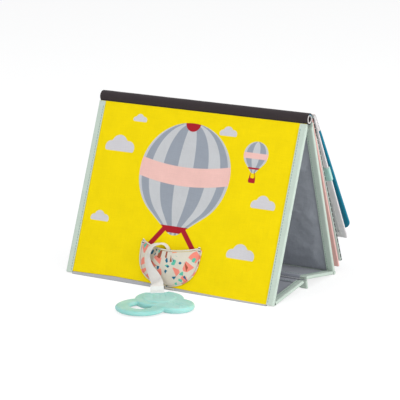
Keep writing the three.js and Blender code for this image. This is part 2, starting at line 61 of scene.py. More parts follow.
def hung(y, z, lean):
    """A panel's placing: off and down turn by the lean about X and move to the hinge line at y, z."""
    c, s = math.cos(math.radians(lean)), math.sin(math.radians(lean))

    def place(across, off, down):
        across, off, down = np.broadcast_arrays(across, off, down)
        return np.stack([across, y + off * c + down * s, z + off * s - down * c], -1) / 1000

    return place


hinge_height, front_lean, rear_lean = 174.8856, 21.8, 18.3
spine_axis = (37.1758, 178.9006)
in_spine = hung(*spine_axis, 0)
in_front = hung(31.4417, hinge_height, -front_lean)
in_rear = hung(42.9098, hinge_height, rear_lean)
in_front_flap = hung(-33.2597, 4.1, 97)
in_rear_flap = hung(98.9773, 1.85, -99.323)
in_lip = hung(36.6758, 10, 13)

half_book = 125
half_cloth = 124.2
between_tapes = 116.7
rear_foot = 179.489


def floor_at(off):
    """How far down the front cover the floor lies, for a place off the cover."""
    lean = math.radians(front_lean)
    return (hinge_height - off * math.sin(lean)) / math.cos(lean)


front_foot = floor_at(0) - 2.6


# Meshes

def quads(rows, columns, row_wraps=False, column_wraps=False):
    """Faces of a grid of points, row by row, which closes on itself where it wraps."""
    r = np.arange(rows if row_wraps else rows - 1)[:, None]
    c = np.arange(columns if column_wraps else columns - 1)[None, :]
    below, right = (r + 1) % rows, (c + 1) % columns
    first, last = r * columns, below * columns
    return np.stack([first + c, first + right, last + right, last + c], -1).reshape(-1, 4)


def carried_faces(rings, points):
    """Faces of a closed profile carried along a path, with each end closed by a ladder of faces."""
    sides = quads(rings, points, column_wraps=True)
    i = np.arange(points // 2 - 1)
    rung = np.stack([i, i + 1, points - 2 - i, points - 1 - i], -1)
    return np.concatenate([sides, rung[:, ::-1], rung + (rings - 1) * points])


def copies(rings, points, count):
    """Faces of several carried profiles, one after another in one mesh."""
    firsts = np.arange(count)[:, None, None] * rings * points
    return (carried_faces(rings, points)[None] + firsts).reshape(-1, 4)


def placed(name, data):
    """Links a new object with its data into the scene."""
    made = bpy.data.objects.new(name, data)
    bpy.context.scene.collection.objects.link(made)
    return made


def store(mesh, values):
    """Keeps a number for each of the mesh's points under each name."""
    for key, value in values.items():
        kept = mesh.attributes.new(key, "FLOAT", "POINT")
        kept.data.foreach_set("value", np.asarray(value, np.float32).ravel())


def make(name, points, faces, material, body, slot, nodes=(), lay=None, crease=40, **values):
    """Makes one piece: its faces point outward, it rides on its body and stands for its CAD nodes.
    lay is each point's place on the flat cloth, in mm, and other values are kept as attributes."""
    mesh = bpy.data.meshes.new(name)
    points = np.asarray(points, float).reshape(-1, 3)
    faces = np.asarray(faces)
    mesh.vertices.add(len(points))
    mesh.vertices.foreach_set("co", points.astype(np.float32).ravel())
    mesh.loops.add(faces.size)
    mesh.loops.foreach_set("vertex_index", faces.astype(np.int32).ravel())
    mesh.polygons.add(len(faces))
    mesh.polygons.foreach_set("loop_start", np.arange(0, faces.size, faces.shape[1], dtype=np.int32))
    mesh.update(calc_edges=True)
    mesh.validate()
    if lay is not None:
        lay = np.asarray(lay, float).reshape(-1, 3)
        flat = mesh.attributes.new("lay", "FLOAT_VECTOR", "POINT")
        flat.data.foreach_set("vector", lay.astype(np.float32).ravel())
        corners = np.empty(len(mesh.loops), np.int32)
        mesh.loops.foreach_get("vertex_index", corners)
        uv = mesh.uv_layers.new(name="UVMap")
        uv.data.foreach_set("uv", (lay[corners, :2] / 300 + 0.5).astype(np.float32).ravel())
    store(mesh, values)
    outward = bmesh.new()
    outward.from_mesh(mesh)
    bmesh.ops.recalc_face_normals(outward, faces=outward.faces)
    outward.to_mesh(mesh)
    outward.free()
    mesh.shade_smooth()
    if crease < 180:
        mesh.set_sharp_from_angle(angle=math.radians(crease))
    piece = placed(name, mesh)
    mesh.materials.append(material)
    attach(piece, body)
    if nodes:
        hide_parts(*nodes)
    return piece


def smooth_step(t):
    """0 up to 0, 1 from 1 on, and a smooth rise between: t * t * (3 - 2 * t)."""
    t = np.clip(t, 0, 1)
    return t * t * (3 - 2 * t)


def strap(x, s, a, b, half):
    """Distance in mm from a straight strap between two points."""
    a, b = np.array(a, float), np.array(b, float)
    t = np.clip(((x - a[0]) * (b[0] - a[0]) + (s - a[1]) * (b[1] - a[1])) / ((b - a) ** 2).sum(), 0, 1)
    return np.hypot(x - a[0] - t * (b[0] - a[0]), s - a[1] - t * (b[1] - a[1])) - half


def ripple(a, b, seed, size=30.0):
    """Soft uneven waves between -1 and 1: the mean of five sines that run in different directions."""
    rng = np.random.default_rng(seed)
    total = 0
    turns, shares, starts = rng.uniform(0, 6.283, 5), rng.uniform(0.6, 1.7, 5), rng.uniform(0, 6.283, 5)
    for turn, share, start in zip(turns, shares, starts):
        along = a * math.cos(turn) + b * math.sin(turn)
        total = total + np.sin(6.283 / size * share * along + start)
    return total / 3.2


# Materials

def linear(code):
    """A hex sRGB colour as linear red, green and blue, with full alpha."""
    parts = [int(code[i:i + 2], 16) / 255 for i in (1, 3, 5)]
    return tuple(p / 12.92 if p <= 0.04045 else ((p + 0.055) / 1.055) ** 2.4 for p in parts) + (1.0,)


def add(tree, kind, inputs=(), out=0, **properties):
    """Adds one node. Each of its inputs is a fixed value or a socket to link; one output is given back."""
    made = tree.nodes.new("ShaderNode" + kind)
    for key, value in properties.items():
        setattr(made, key, value)
    for key, value in dict(inputs).items():
        if isinstance(value, bpy.types.NodeSocket):
            tree.links.new(made.inputs[key], value)
        else:
            made.inputs[key].default_value = value
    return made.outputs[out] if made.outputs else made


def cleared(holder):
    """The empty node tree of a new material or world."""
    holder.use_nodes = True
    holder.node_tree.nodes.clear()
    return holder.node_tree


def surface(name, build, on_cloth=True):
    """A material. build gives the shader's inputs for a place on the flat cloth, or else on the object."""
    material = bpy.data.materials.new(name)
    tree = cleared(material)
    if on_cloth:
        place = add(tree, "Attribute", out="Vector", attribute_name="lay", attribute_type="GEOMETRY")
    else:
        place = add(tree, "TexCoord", out="Object")
    add(tree, "OutputMaterial", {"Surface": add(tree, "BsdfPrincipled", build(tree, place))})
    return material


def painted(tree, ground, *layers):
    """Lays colours over a ground, each by its share. A colour is a hex code or a socket."""
    for share, colour in layers:
        low, high = (linear(c) if isinstance(c, str) else c for c in (ground, colour))
        ground = add(tree, "Mix", {0: share, 6: low, 7: high}, 2, data_type="RGBA")
    return ground


def toned(tree, ground, tone):
    """A colour made lighter and darker by a tone around 1."""
    ground = linear(ground) if isinstance(ground, str) else ground
    return add(tree, "Mix", {0: 1.0, 6: ground, 7: tone}, 2, data_type="RGBA", blend_type="MULTIPLY")


def inside(tree, distance, low=0.25, high=-0.25):
    """Turns a signed distance in mm, negative inside, into 1 inside a printed shape and 0 outside."""
    return add(tree, "MapRange", {"Value": distance, "From Min": low, "From Max": high})


def woven(name, colour, thread=0.6, raised=0.05, slub=0.06, crumple=0.25, roughness=0.88, sheen=0.12,
          shine=0.25):
    """Plain-woven cloth: threads cross at the thread's spacing in mm, thicker yarns streak it both ways,
    and it crumples softly, with painted shade in the crumples' hollows and painted light on their rises.
    The colour is a hex code, or a function that paints a print."""
    def build(tree, lay):
        wave = {"Scale": math.pi / 10 / thread, "Distortion": 0.6, "Detail": 0.0, "Detail Scale": 0.3,
                "Vector": lay}
        weave = [add(tree, "TexWave", wave, "Fac", bands_direction=way, wave_profile="SIN") for way in "XY"]
        threads = add(tree, "Math", {0: weave[0], 1: weave[1]}, operation="MULTIPLY")
        streaks = []
        for scale in ((1.6, 0.09, 1), (0.09, 1.6, 1)):
            stretch = add(tree, "Mapping", {"Scale": scale, "Vector": lay})
            streaks.append(add(tree, "TexNoise", {"Scale": 1.0, "Detail": 2.0, "Vector": stretch}, "Fac"))
        yarns = add(tree, "Math", {0: streaks[0], 1: streaks[1]}, operation="ADD")
        patch = add(tree, "TexNoise", {"Scale": 0.05, "Detail": 3.0, "Vector": lay}, "Fac")
        shade = add(tree, "MapRange", {"Value": yarns, "From Min": 0.6, "From Max": 1.4,
                                       "To Min": 1 - slub, "To Max": 1 + slub})
        # Painted shade and light: the tone follows the crumple's height, darker in its hollows, lighter on
        # its rises
        crumple_shade = add(tree, "MapRange", {"Value": patch, "From Min": 0.3, "From Max": 0.7,
                                       "To Min": 0.97, "To Max": 1.02})
        tone = add(tree, "Math", {0: shade, 1: crumple_shade}, operation="MULTIPLY")
        normal = add(tree, "Bump", {"Strength": 1.0, "Distance": crumple / 1000, "Height": patch})
        for strength, height in ((0.8, yarns), (0.7, threads)):
            normal = add(tree, "Bump", {"Strength": strength, "Distance": raised / 1000, "Height": height,
                                        "Normal": normal})
        ground = colour(tree, lay) if callable(colour) else colour
        return {"Base Color": toned(tree, ground, tone), "Normal": normal, "Roughness": roughness,
                "Specular IOR Level": shine, "Sheen Weight": sheen, "Sheen Roughness": 0.5}
    return surface(name, build)


def balloon_print(tree, lay):
    """Screen print on yellow cotton: clouds, two balloons in upright gores, and the ropes to the pocket."""
    kept = {name: add(tree, "Attribute", out="Fac", attribute_name=name, attribute_type="GEOMETRY")
            for name in ("cloud", "rope", "gore", "belt", "trim", "balloon")}
    band = add(tree, "Math", {0: kept["gore"], 1: 1.0}, operation="PINGPONG")
    balloon = painted(tree, "#C9CBCE", (inside(tree, band, 0.49, 0.51), "#9BA2AD"),
                      (inside(tree, kept["belt"]), "#F2C4BC"), (inside(tree, kept["trim"]), "#AE2430"))
    return painted(tree, "#F7DC08", (inside(tree, kept["cloud"]), "#D4D2D6"),
                   (inside(tree, kept["rope"]), "#AE2430"), (inside(tree, kept["balloon"]), balloon))


def chips(tree, lay, size, stretch, keep, margin, seed):
    """Scattered stone chips: the cells of a Voronoi pattern of the given size in mm, some kept at random,
    each shrunk by its own margin from its straight edges. stretch makes them longer than wide."""
    shift = add(tree, "Mapping", {"Location": (seed * 17.3, seed * 9.1, seed), "Rotation": (0, 0, seed * 0.7),
                                  "Scale": (1 / size, 1 / size / stretch, 1 / size), "Vector": lay})
    cells = {"Scale": 1.0, "Vector": shift}
    cell = add(tree, "TexVoronoi", cells, "Color", voronoi_dimensions="2D")
    edge = add(tree, "TexVoronoi", cells, "Distance", voronoi_dimensions="2D", feature="DISTANCE_TO_EDGE")
    chance, shrink, _ = add(tree, "SeparateColor", {"Color": cell}).node.outputs
    chosen = add(tree, "Math", {0: chance, 1: keep}, operation="LESS_THAN")
    border = add(tree, "MapRange", {"Value": shrink, "To Min": margin, "To Max": 2.2 * margin})
    within = add(tree, "Math", {0: edge, 1: border}, operation="GREATER_THAN")
    return add(tree, "Math", {0: chosen, 1: within}, operation="MULTIPLY")


def terrazzo_print(tree, lay):
    """Terrazzo print on cream cotton: big salmon chips, rust shards, and small teal and blue ones."""
    kinds = (
        ("#F58E7E", 11.0, 1.0, 0.42, 0.12, 1),
        ("#A0553C", 8.0, 1.7, 0.32, 0.14, 2),
        ("#5DC2A8", 6.0, 1.2, 0.13, 0.17, 3),
        ("#1F6B8C", 5.2, 1.0, 0.2, 0.18, 4),
    )
    return painted(tree, "#DCD5C6", *((chips(tree, lay, *kind), code) for code, *kind in kinds))


def dotted(ground, spot, size, reach):
    """Round spots in a slanted square grid with a spacing in mm; reach is a spot's share of it."""
    def paint(tree, lay):
        scale = add(tree, "Mapping", {"Scale": (1 / size,) * 3, "Rotation": (0, 0, 0.785), "Vector": lay})
        cell = add(tree, "TexVoronoi", {"Scale": 1.0, "Randomness": 0.0, "Vector": scale}, "Distance",
                   voronoi_dimensions="2D")
        return painted(tree, ground, (inside(tree, cell, reach + 0.02, reach - 0.02), spot))
    return paint


def striped(ground, line, pitch, share, along):
    """Stripes at a pitch in mm, each a share of the pitch wide."""
    def paint(tree, lay):
        bands = add(tree, "TexWave", {"Scale": math.pi / 10 / pitch, "Distortion": 0.0, "Vector": lay}, "Fac",
                    bands_direction=along, wave_profile="TRI")
        return painted(tree, ground, (inside(tree, bands, share + 0.05, share - 0.05), line))
    return paint


def edge_dashes(ground, line, face, pitch):
    """A dark dashed line along a folded tape's edge, on the side that lies beyond a place off the panel."""
    def paint(tree, lay):
        inset, run, off = add(tree, "SeparateXYZ", {0: lay}).node.outputs
        along = add(tree, "Math", {0: run, 1: pitch / 2}, operation="PINGPONG")
        marks = inside(tree, inset, 2.7, 2.5)
        for mark in (inside(tree, off, face - 0.1, face + 0.1), inside(tree, along, 0.25, 0.45)):
            marks = add(tree, "Math", {0: marks, 1: mark}, operation="MULTIPLY")
        return painted(tree, ground, (marks, line))
    return paint


def wrapped(tree, lay):
    """Pale cloth rolled up with a teal one that shows on part of the round."""
    teal = add(tree, "Attribute", out="Fac", attribute_name="teal", attribute_type="GEOMETRY")
    return painted(tree, "#E4E0DD", (teal, "#007A94"))


def grosgrain(name, colour, rib=1.1):
    """Ribbon woven with ribs across it, so its edge catches light rib by rib; polyester, slightly glossy."""
    def build(tree, lay):
        ribs = add(tree, "TexWave", {"Scale": math.pi / 10 / rib, "Distortion": 0.3, "Vector": lay}, "Fac",
                   bands_direction="Y", wave_profile="SIN")
        soil = add(tree, "TexNoise", {"Scale": 0.25, "Detail": 3.0, "Vector": lay}, "Fac")
        tone = add(tree, "MapRange", {"Value": soil, "From Min": 0.3, "From Max": 0.7, "To Min": 0.95,
                                      "To Max": 1.0})
        normal = add(tree, "Bump", {"Strength": 0.6, "Distance": 0.00012, "Height": ribs})
        return {"Base Color": toned(tree, colour, tone), "Normal": normal, "Roughness": 0.6,
                "Sheen Weight": 0.2}
    return surface(name, build)


def spun(name, colour, other=None):
    """Sewing thread, two plies twisted: fine slanted ridges, a little gloss from polyester."""
    def build(tree, place):
        plies = add(tree, "TexWave", {"Scale": 900.0, "Distortion": 0.5, "Vector": place}, "Fac",
                    bands_direction="DIAGONAL")
        ground = colour
        if other:
            ply = add(tree, "Attribute", out="Fac", attribute_name="ply", attribute_type="GEOMETRY")
            ground = painted(tree, colour, (ply, other))
        tone = add(tree, "MapRange", {"Value": plies, "To Min": 0.86, "To Max": 1.0})
        normal = add(tree, "Bump", {"Strength": 0.5, "Distance": 0.00005, "Height": plies})
        return {"Base Color": toned(tree, ground, tone), "Normal": normal, "Roughness": 0.55}
    return surface(name, build, on_cloth=False)


def moulded_silicone(tree, place):
    """Moulded silicone: milky and see-through at thin edges, with a satin skin and a faint mould texture."""
    skin = add(tree, "TexNoise", {"Scale": 1400.0, "Detail": 2.0, "Vector": place}, "Fac")
    cloudy = add(tree, "TexNoise", {"Scale": 60.0, "Detail": 2.0, "Vector": place}, "Fac")
    milk = add(tree, "MapRange", {"Value": cloudy, "From Min": 0.3, "From Max": 0.7})
    return {"Base Color": painted(tree, "#93D0C9", (milk, "#ABDDD8")),
            "Normal": add(tree, "Bump", {"Strength": 0.3, "Distance": 0.00004, "Height": skin}),
            "Roughness": 0.38, "IOR": 1.41, "Subsurface Weight": 0.6,
            "Subsurface Radius": (0.5, 1.0, 0.9), "Subsurface Scale": 0.004}


def greyboard(tree, place):
    """Pressed grey board inside the covers: flecked with fibres, dull."""
    flecks = add(tree, "TexNoise", {"Scale": 700.0, "Detail": 4.0, "Vector": place}, "Fac")
    return {"Base Color": painted(tree, "#A39D90", (flecks, "#C6C1B5")),
            "Normal": add(tree, "Bump", {"Strength": 0.4, "Distance": 0.0001, "Height": flecks}),
            "Roughness": 0.93}


def napped(name, colour, size):
    """Hook-and-loop strip: a field of tiny loops or hooks, rough and matt."""
    def build(tree, lay):
        loops = add(tree, "TexVoronoi", {"Scale": 1 / size, "Vector": lay}, "Distance")
        return {"Base Color": painted(tree, colour, (loops, "#A3A5AA")),
                "Normal": add(tree, "Bump", {"Strength": 0.9, "Distance": 0.0004, "Height": loops}),
                "Roughness": 0.95, "Sheen Weight": 0.3}
    return surface(name, build)


# The cloths, each named for what it is; thread spacing, raised threads and crumple are in mm
printed_cotton = woven("printed_cotton", balloon_print, thread=0.7, slub=0.035, crumple=0.9, sheen=0.01,
                       shine=0.08)
terrazzo_cotton = woven("terrazzo_cotton", terrazzo_print, thread=0.7, slub=0.03, crumple=0.8)
lining_cotton, base_cotton, crease_cotton = (
    woven(name, colour, slub=0.04, crumple=crumple, roughness=0.8, sheen=0.2) for name, colour, crumple in (
        ("lining_polyester", "#A4A9B1", 2.6), ("base_polyester", "#A2A5AF", 1.2),
        ("crease_polyester", "#B4B5B9", 0.6)))
mint_cotton = woven("mint_bias_tape", "#C8D7CB", thread=0.7, raised=0.07, slub=0.05, crumple=0.4)
spine_twill = woven("charcoal_twill", "#352D2F", thread=0.9, raised=0.12, slub=0.12, crumple=0.8,
                    roughness=0.8, sheen=0.08)
pale_cotton = woven("pale_cotton", "#E4E0DD", slub=0.04)
rolled_cotton = woven("rolled_cotton", wrapped, slub=0.04)
hem_cotton = woven("cream_hem", "#DCD5C6")
pink_cotton = woven("pink_bias_tape", "#F0BFB9", raised=0.07)
grey_cotton = woven("grey_bias_tape", "#E8E3E4", raised=0.07)
teal_cotton = woven("teal_bias_tape", "#007A94", raised=0.07, slub=0.1)
dashed_cotton = woven("dashed_bias_tape", edge_dashes("#D3E4DC", "#0B0E10", 7.85, 6.4))
collar_cotton = woven("dashed_root_tape", edge_dashes("#EDEBE9", "#0B0E10", 11.9, 4.6))
# The tab's aqua is its own, and it is written lighter still as painted light, to lift the shade it sits in
lit_tab_cotton = woven("aqua_ribbon_tab_painted_lighter", "#B7E0D6")
root_cotton = woven("leaf_root_tape", "#EAE6E3")
page_cottons = [woven(name, paint, crumple=1.2) for name, paint in (
    ("page_cream_dots", dotted("#EBE4DA", "#E6A79F", 13.0, 0.16)),
    ("page_mint_stripes", striped("#DDE6E1", "#A9CFC2", 11.0, 0.5, "X")),
    ("page_grey_dots", dotted("#E4DFE0", "#9BA2AD", 17.0, 0.2)),
    ("page_blush_stripes", striped("#E9CBC6", "#F3E3DE", 15.0, 0.45, "Y")))]
ribbon_weave = grosgrain("white_grosgrain", "#E4E1DC")
# Painted light: the sewn loop is the same white ribbon, written a lighter, cooler white than the strip where
# it faces up
lit_loop_weave = grosgrain("white_grosgrain_painted_lighter", "#E6EBEA")
mint_thread = spun("mint_thread", "#7FA294")
pale_thread = spun("pale_thread", "#EDEBE6")
tack_thread = spun("navy_and_white_thread", "#1D2F4E", "#EFEFEF")
silicone = surface("moulded_silicone", moulded_silicone, on_cloth=False)
board = surface("pressed_greyboard", greyboard, on_cloth=False)
loop_pile = napped("loop_pile", "#8E9097", 0.6)
hook_pile = napped("hook_field", "#85878E", 0.9)


# Cloth panels, folded tapes and stitching

edge_round = 0.6
tape_width, tape_thick = 8, 0.5
stitch_pitch = 3.1


def cloth(name, place, left, right, top, foot, low, high, material, body, slot, nodes, swell=None, step=3.0,
          narrow=None, hem=None):
    """A thin panel: two faces of a grid of points across and down, low to high off the panel, joined at a
    rounded edge. swell moves both faces off the panel, narrow gives the half width at each height, and
    hem how much longer the panel is at each place across."""
    columns = max(8, int((right - left) / step))
    rows = max(6, int((foot - top) / step))
    u = np.linspace(-1, 1, columns)
    down = np.linspace(top, foot, rows)[:, None]
    middle, half = (left + right) / 2, (right - left) / 2
    reach = narrow(down) if narrow else np.full_like(down, half)
    across = middle + reach * u[None, :]
    down = np.broadcast_to(down, across.shape)
    shift = swell(across, down) if swell else np.zeros_like(across)
    thickness = (high - low) / 2
    edge = np.minimum.reduce([half - abs(across - middle), down - top, foot - down]) / edge_round
    full = thickness * (0.5 + 0.5 * np.sqrt(np.clip(edge, 0, 1)))
    if hem:
        down = down + hem(across) * smooth_step((down - foot + 20) / 20)
    centre = (low + high) / 2 + shift
    front = np.stack([across, centre - full, down], -1)
    back = np.stack([across, centre + full, down], -1)[:, ::-1]
    grid = np.concatenate([front, back], 1)
    piece = make(name, place(*np.moveaxis(grid, -1, 0)), carried_faces(*grid.shape[:2]), material, body,
                 slot, nodes, grid[..., [0, 2, 1]])
    return piece, grid


def tape_section(width, low, high, thick, radius=1.3):
    """A tape folded round an edge, as a closed line of insets from the edge and places off the panel:
    the outer line goes along one face, round the fold and back along the other; the inner line returns."""
    radius = min(radius, (high - low) / 2 - 0.02)
    lines = []
    for inner in (0, thick):
        r = max(radius - inner, 0.08)
        straight = np.linspace(width, inner + r, 7)
        turn = np.linspace(0, math.pi / 2, 5)
        front = np.stack([straight, np.full(7, low + inner)], -1)
        first = np.stack([inner + r - r * np.sin(turn[1:]), low + inner + r - r * np.cos(turn[1:])], -1)
        line = np.concatenate([front, first])
        mirror = line[::-1] * (1, -1) + (0, low + high)
        lines.append(np.concatenate([line, mirror]))
    section = np.concatenate([lines[0], lines[1][::-1]])
    face = np.where(section[:, 1] < (low + high) / 2, -1.0, 1.0)
    seam = np.exp(-((section[:, 0] - width + 1.5) / 0.5) ** 2)
    hem = np.exp(-((section[:, 0] - width + 0.6) / 0.5) ** 2)
    outer = np.arange(len(section)) < len(section) // 2
    section[:, 1] += face * np.where(outer, 0.12 * hem - 0.1 * seam, 0.0)
    return section


def foot_line(half, start, end, corner, inset, side=60, turn=7, across=70):
    """The line that a page's edge follows at each inset: down the left side, round the corner, along
    the foot and up the right side, as across and down for every step and inset."""
    inset = np.asarray(inset, float)[None, :]
    radius = np.maximum(corner - inset, 0.05)
    x = half - inset
    s = end - inset
    t = np.linspace(0, 1, side)[:, None]
    a = np.linspace(0, math.pi / 2, turn)[1:, None]
    w = np.linspace(-1, 1, across)[1:-1, None]
    left = [-x + 0 * t, start + (s - radius - start) * t]
    bend = [-x + radius - radius * np.cos(a), s - radius + radius * np.sin(a)]
    foot = [(x - radius) * w, s + 0 * w]
    down = np.concatenate([left[1], bend[1], foot[1], bend[1][::-1], left[1][::-1]])
    over = np.concatenate([left[0], bend[0], foot[0], -bend[0][::-1], -left[0][::-1]])
    return over, down


def tape(name, place, line, section, material, body, slot, nodes, pucker=0.06, seed=1, thin=None):
    """A folded tape: its section is carried along a line that gives across and down at every inset.
    thin may give the lowest and highest place off the panel that it keeps at each distance down."""
    over, down = line(section[:, 0])
    run = np.cumsum(np.r_[0, np.hypot(np.diff(over[:, 0]), np.diff(down[:, 0]))])[:, None]
    inset, level = section.T[:, None]
    face = np.sign(level - level.mean())
    inward = smooth_step((inset - 1.5) / 3)
    puckers = np.abs(np.sin(run / stitch_pitch * math.pi)) * (1 + 0.5 * ripple(run, 0, seed, 17))
    off = level + pucker * inward * face * puckers
    if thin:
        low, high = thin(down)
        off = off - level + low + (high - low) * (level - level.min()) / np.ptp(level)
    lay = np.stack([inset + 0 * run, run + 0 * over, off], -1)
    return make(name, place(over, off, down), carried_faces(*over.shape), material, body, slot, nodes, lay)


def stitches(name, place, over, down, off, side, material, body, slot, pitch=stitch_pitch, length=2.3,
             radius=0.24):
    """Machine stitches along a line: short closed threads that arch over the cloth between two holes.
    Each is a ring of six points carried along a low arch, and all are worked out together."""
    run = np.r_[0, np.cumsum(np.hypot(np.diff(over), np.diff(down)))]
    count = int(run[-1] / pitch)
    middle = (np.arange(count) + 0.5) * pitch
    x, s = np.interp(middle, run, over), np.interp(middle, run, down)
    level = np.interp(middle, run, np.broadcast_to(off, run.shape))[:, None, None]
    tx = np.interp(middle + 0.5, run, over) - np.interp(middle - 0.5, run, over)
    ts = np.interp(middle + 0.5, run, down) - np.interp(middle - 0.5, run, down)
    size = np.maximum(np.hypot(tx, ts), 1e-6)
    tx, ts = tx / size, ts / size
    along = np.array([-1, -0.8, -0.3, 0.3, 0.8, 1]) * length / 2
    rise = np.array([-0.12, 0.02, 0.12, 0.12, 0.02, -0.12])
    thick = np.array([0.35, 0.9, 1, 1, 0.9, 0.35]) * radius
    turn = np.arange(6) * math.pi / 3
    wide = thick[:, None] * np.cos(turn)[None, :]
    high = rise[:, None] + thick[:, None] * np.sin(turn)[None, :]
    px = x[:, None, None] + tx[:, None, None] * along[None, :, None] - ts[:, None, None] * wide[None]
    ps = s[:, None, None] + ts[:, None, None] * along[None, :, None] + tx[:, None, None] * wide[None]
    po = np.broadcast_to(level + side * high[None], px.shape)
    return make(name, place(px, po, ps), copies(6, 6, count), material, body, slot)


def side_line(sign, half, start, end, steps):
    """The straight line of a side tape: across and down for every step and inset."""
    def line(inset):
        down = np.linspace(start, end, steps)[:, None]
        return sign * (half - inset)[None, :] + 0 * down, down + 0 * inset[None, :]
    return line


def side_tapes(body, place, low, high, start, end, thin=None, seam_in=1.5, first=1):
    """The tapes on a panel's left and right sides. A longer one has a line of stitches on both faces, some
    way in from the tape's hem, which begins a little below its start."""
    section = tape_section(tape_width, low, high, tape_thick)
    steps = max(4, int((end - start) / 1.55))
    for seed, (word, sign) in enumerate((("left", -1), ("right", 1)), 2):
        tape(f"{body}_tape_{word}", place, side_line(sign, half_book, start, end, steps), section,
             mint_cotton, body, "mint_tape", [f"{body}_binding_{word}"], seed=seed, thin=thin)
        if end - start > 12:
            run = np.linspace(start + first, end - 1, 200)
            under, over = thin(run) if thin else (low, high)
            seam = np.full(200, sign * (half_book - tape_width + seam_in))
            for face, level, side in (("front", under, -1), ("back", over, 1)):
                stitches(f"{body}_stitches_{word}_{face}", place, seam, run, level + side * 0.02, side,
                         mint_thread, body, "mint_tape")


def thinned(low, high, low_end, high_end):
    """Where a cover's side tape lies off the panel: it thins out from 7 mm down to the hinge line,
    so that it goes in under the spine roll and stays clear of it as the cover turns."""
    def thin(down):
        return (low_end + (low - low_end) * smooth_step((down - 3.2) / 3.3),
                high_end + (high - high_end) * smooth_step((down + 0.5) / 6.5))
    return thin


def closed_end(low, high, end, radius=1.7):
    """Where a side tape lies off its panel: it closes with a rounded nose at the panel's end."""
    def thin(down):
        nose = np.sqrt(np.clip(1 - (np.clip(down - end + radius, 0, radius) / radius) ** 2, 0.01, 1))
        return (low + high) / 2 - (high - low) / 2 * nose, (low + high) / 2 + (high - low) / 2 * nose
    return thin


def end_tape(name, place, low, high, end, body, node, width=tape_width, material=mint_cotton):
    """The tape along a panel's end, between its side tapes, and its line of stitches on both faces."""
    def line(inset):
        over = np.linspace(-between_tapes, between_tapes, 150)[:, None]
        return over + 0 * inset[None, :], (end - inset)[None, :] + 0 * over

    tape(name, place, line, tape_section(width, low, high, tape_thick), material, body, "mint_tape", [node])
    run = np.linspace(-between_tapes + 1, between_tapes - 1, 200)
    seam = np.full(200, end - width + 1.5)
    for face, level, side in (("top", high, 1), ("under", low, -1)):
        stitches(f"{name}_stitches_{face}", place, run, seam, level + side * 0.02, side, mint_thread, body,
                 "mint_tape")


def roll(name, place, profile, material, body, slot, nodes, left, right, step=2.0, wave=0.0, seed=1,
         lift=None):
    """A profile of places off and down carried across the book, swelling a little along the way.
    lift may move its points further down."""
    across = np.linspace(left, right, int((right - left) / step))[:, None]
    centre = profile.mean(0)
    grow = 1 + wave * ripple(across, np.arange(len(profile))[None, :] * 2.0, seed, 40)
    off = centre[0] + (profile[:, 0] - centre[0])[None, :] * grow
    down = centre[1] + (profile[:, 1] - centre[1])[None, :] * grow
    if lift:
        down = down + lift(across + 0 * off, off, down)
    around = np.cumsum(np.r_[0, np.hypot(*np.diff(profile, axis=0).T)])[None, :]
    lay = np.stack([across + 0 * off, around + 0 * across, 0 * off], -1)
    return make(name, place(across + 0 * off, off, down), carried_faces(*off.shape), material, body, slot,
                nodes, lay)


# Spine: three cloth rolls one inside the other, open at the ends

def rolled(name, outer, inner, half, material, slot, node, wave, seed, seam=False):
    """A tube of cloth along X: a line that goes along the outside, in over a rounded lip and back
    along the inside is turned once round the axis, and the radius swells by a few hundredths."""
    lip = (outer - inner) / 2
    turn = np.linspace(0, math.pi, 5)
    right = np.stack([half - lip + lip * np.sin(turn), (outer + inner) / 2 + lip * np.cos(turn)], -1)
    along = np.linspace(-half + lip, half - lip, 90)[1:-1]
    line = np.concatenate([
        np.stack([along, np.full_like(along, outer)], -1), right,
        np.stack([along[::-1], np.full_like(along, inner)], -1), right[::-1] * (-1, 1),
    ])
    angle = np.linspace(0, 2 * math.pi, 56, endpoint=False)[:, None]
    x = line[:, 0][None, :] + 0 * angle
    radius = line[:, 1][None, :] + wave * ripple(x, angle * 6, seed, 45)
    if seam:
        ridge = np.exp(-((angle - 4.0) / 0.09) ** 2)
        radius = radius + 0.35 * ridge * (line[:, 1][None, :] > inner + 0.1)
    lay = np.stack([x, angle * outer + 0 * x, 0 * x], -1)
    place = in_spine(x, radius * np.sin(angle), -radius * np.cos(angle))
    teal = smooth_step((angle + 0.3) / 0.1) * smooth_step((1.7 - angle) / 0.1)
    teal = (teal + smooth_step((angle - 5.9) / 0.1)) * (line[:, 1][None, :] > (outer + inner) / 2 - 0.15)
    return make(name, place, quads(len(angle), len(line), True, True), material, "spine", slot, [node], lay,
                teal=teal)


rolled("spine_cover", 6.0, 5.0, 124.8, spine_twill, "spine_cloth", "spine_sleeve", 0.1, 4, seam=True)
rolled("spine_pale_roll", 4.8, 3.4, 125, rolled_cotton, "pale_cloth", "spine_lining_roll", 0.05, 5)
rolled("spine_cord_core", 3.2, 2.0, 124.5, spine_twill, "spine_cloth", "spine_core", 0.04, 6)


# Front cover

def between(value, low, high, soft):
    """1 between two ends and 0 beyond them, with a soft rise inside each end."""
    return smooth_step((value - low) / soft) * smooth_step((high - value) / soft)


def front_swell(across, down):
    """Slack in the printed cloth: ripples under the spine and a soft swell, none under the tapes."""
    open_part = between(across, -115, 115, 14) * between(down, 2, 182, 16)
    under_spine = np.exp(-down / 28) * np.sin(across / 9.5 + ripple(across, down, 3, 60))
    return -open_part * (0.28 + 0.24 * ripple(across, down, 8, 55) + 0.22 * under_spine)


def print_hem(across):
    """The print's lower edge: it rides up to the left, where the grey strip below it shows most, and
    reaches the floor at the right."""
    return np.interp(across, (-118, -65, -20, 5, 60, 95), (-0.2, -2.0, -1.2, -0.4, 0.9, 1.2))


front_cloth, grid = cloth(
    "front_print_cloth", in_front, -half_cloth, half_cloth, 0, front_foot, -0.2, 0.2,
    printed_cotton, "front_cover", "print_cloth", ["front_cover_cloth"], front_swell, step=1.5, hem=print_hem)


def ring_to(x, s, cx, cs, r):
    """Distance in mm from a circle."""
    return np.hypot(x - cx, s - cs) - r


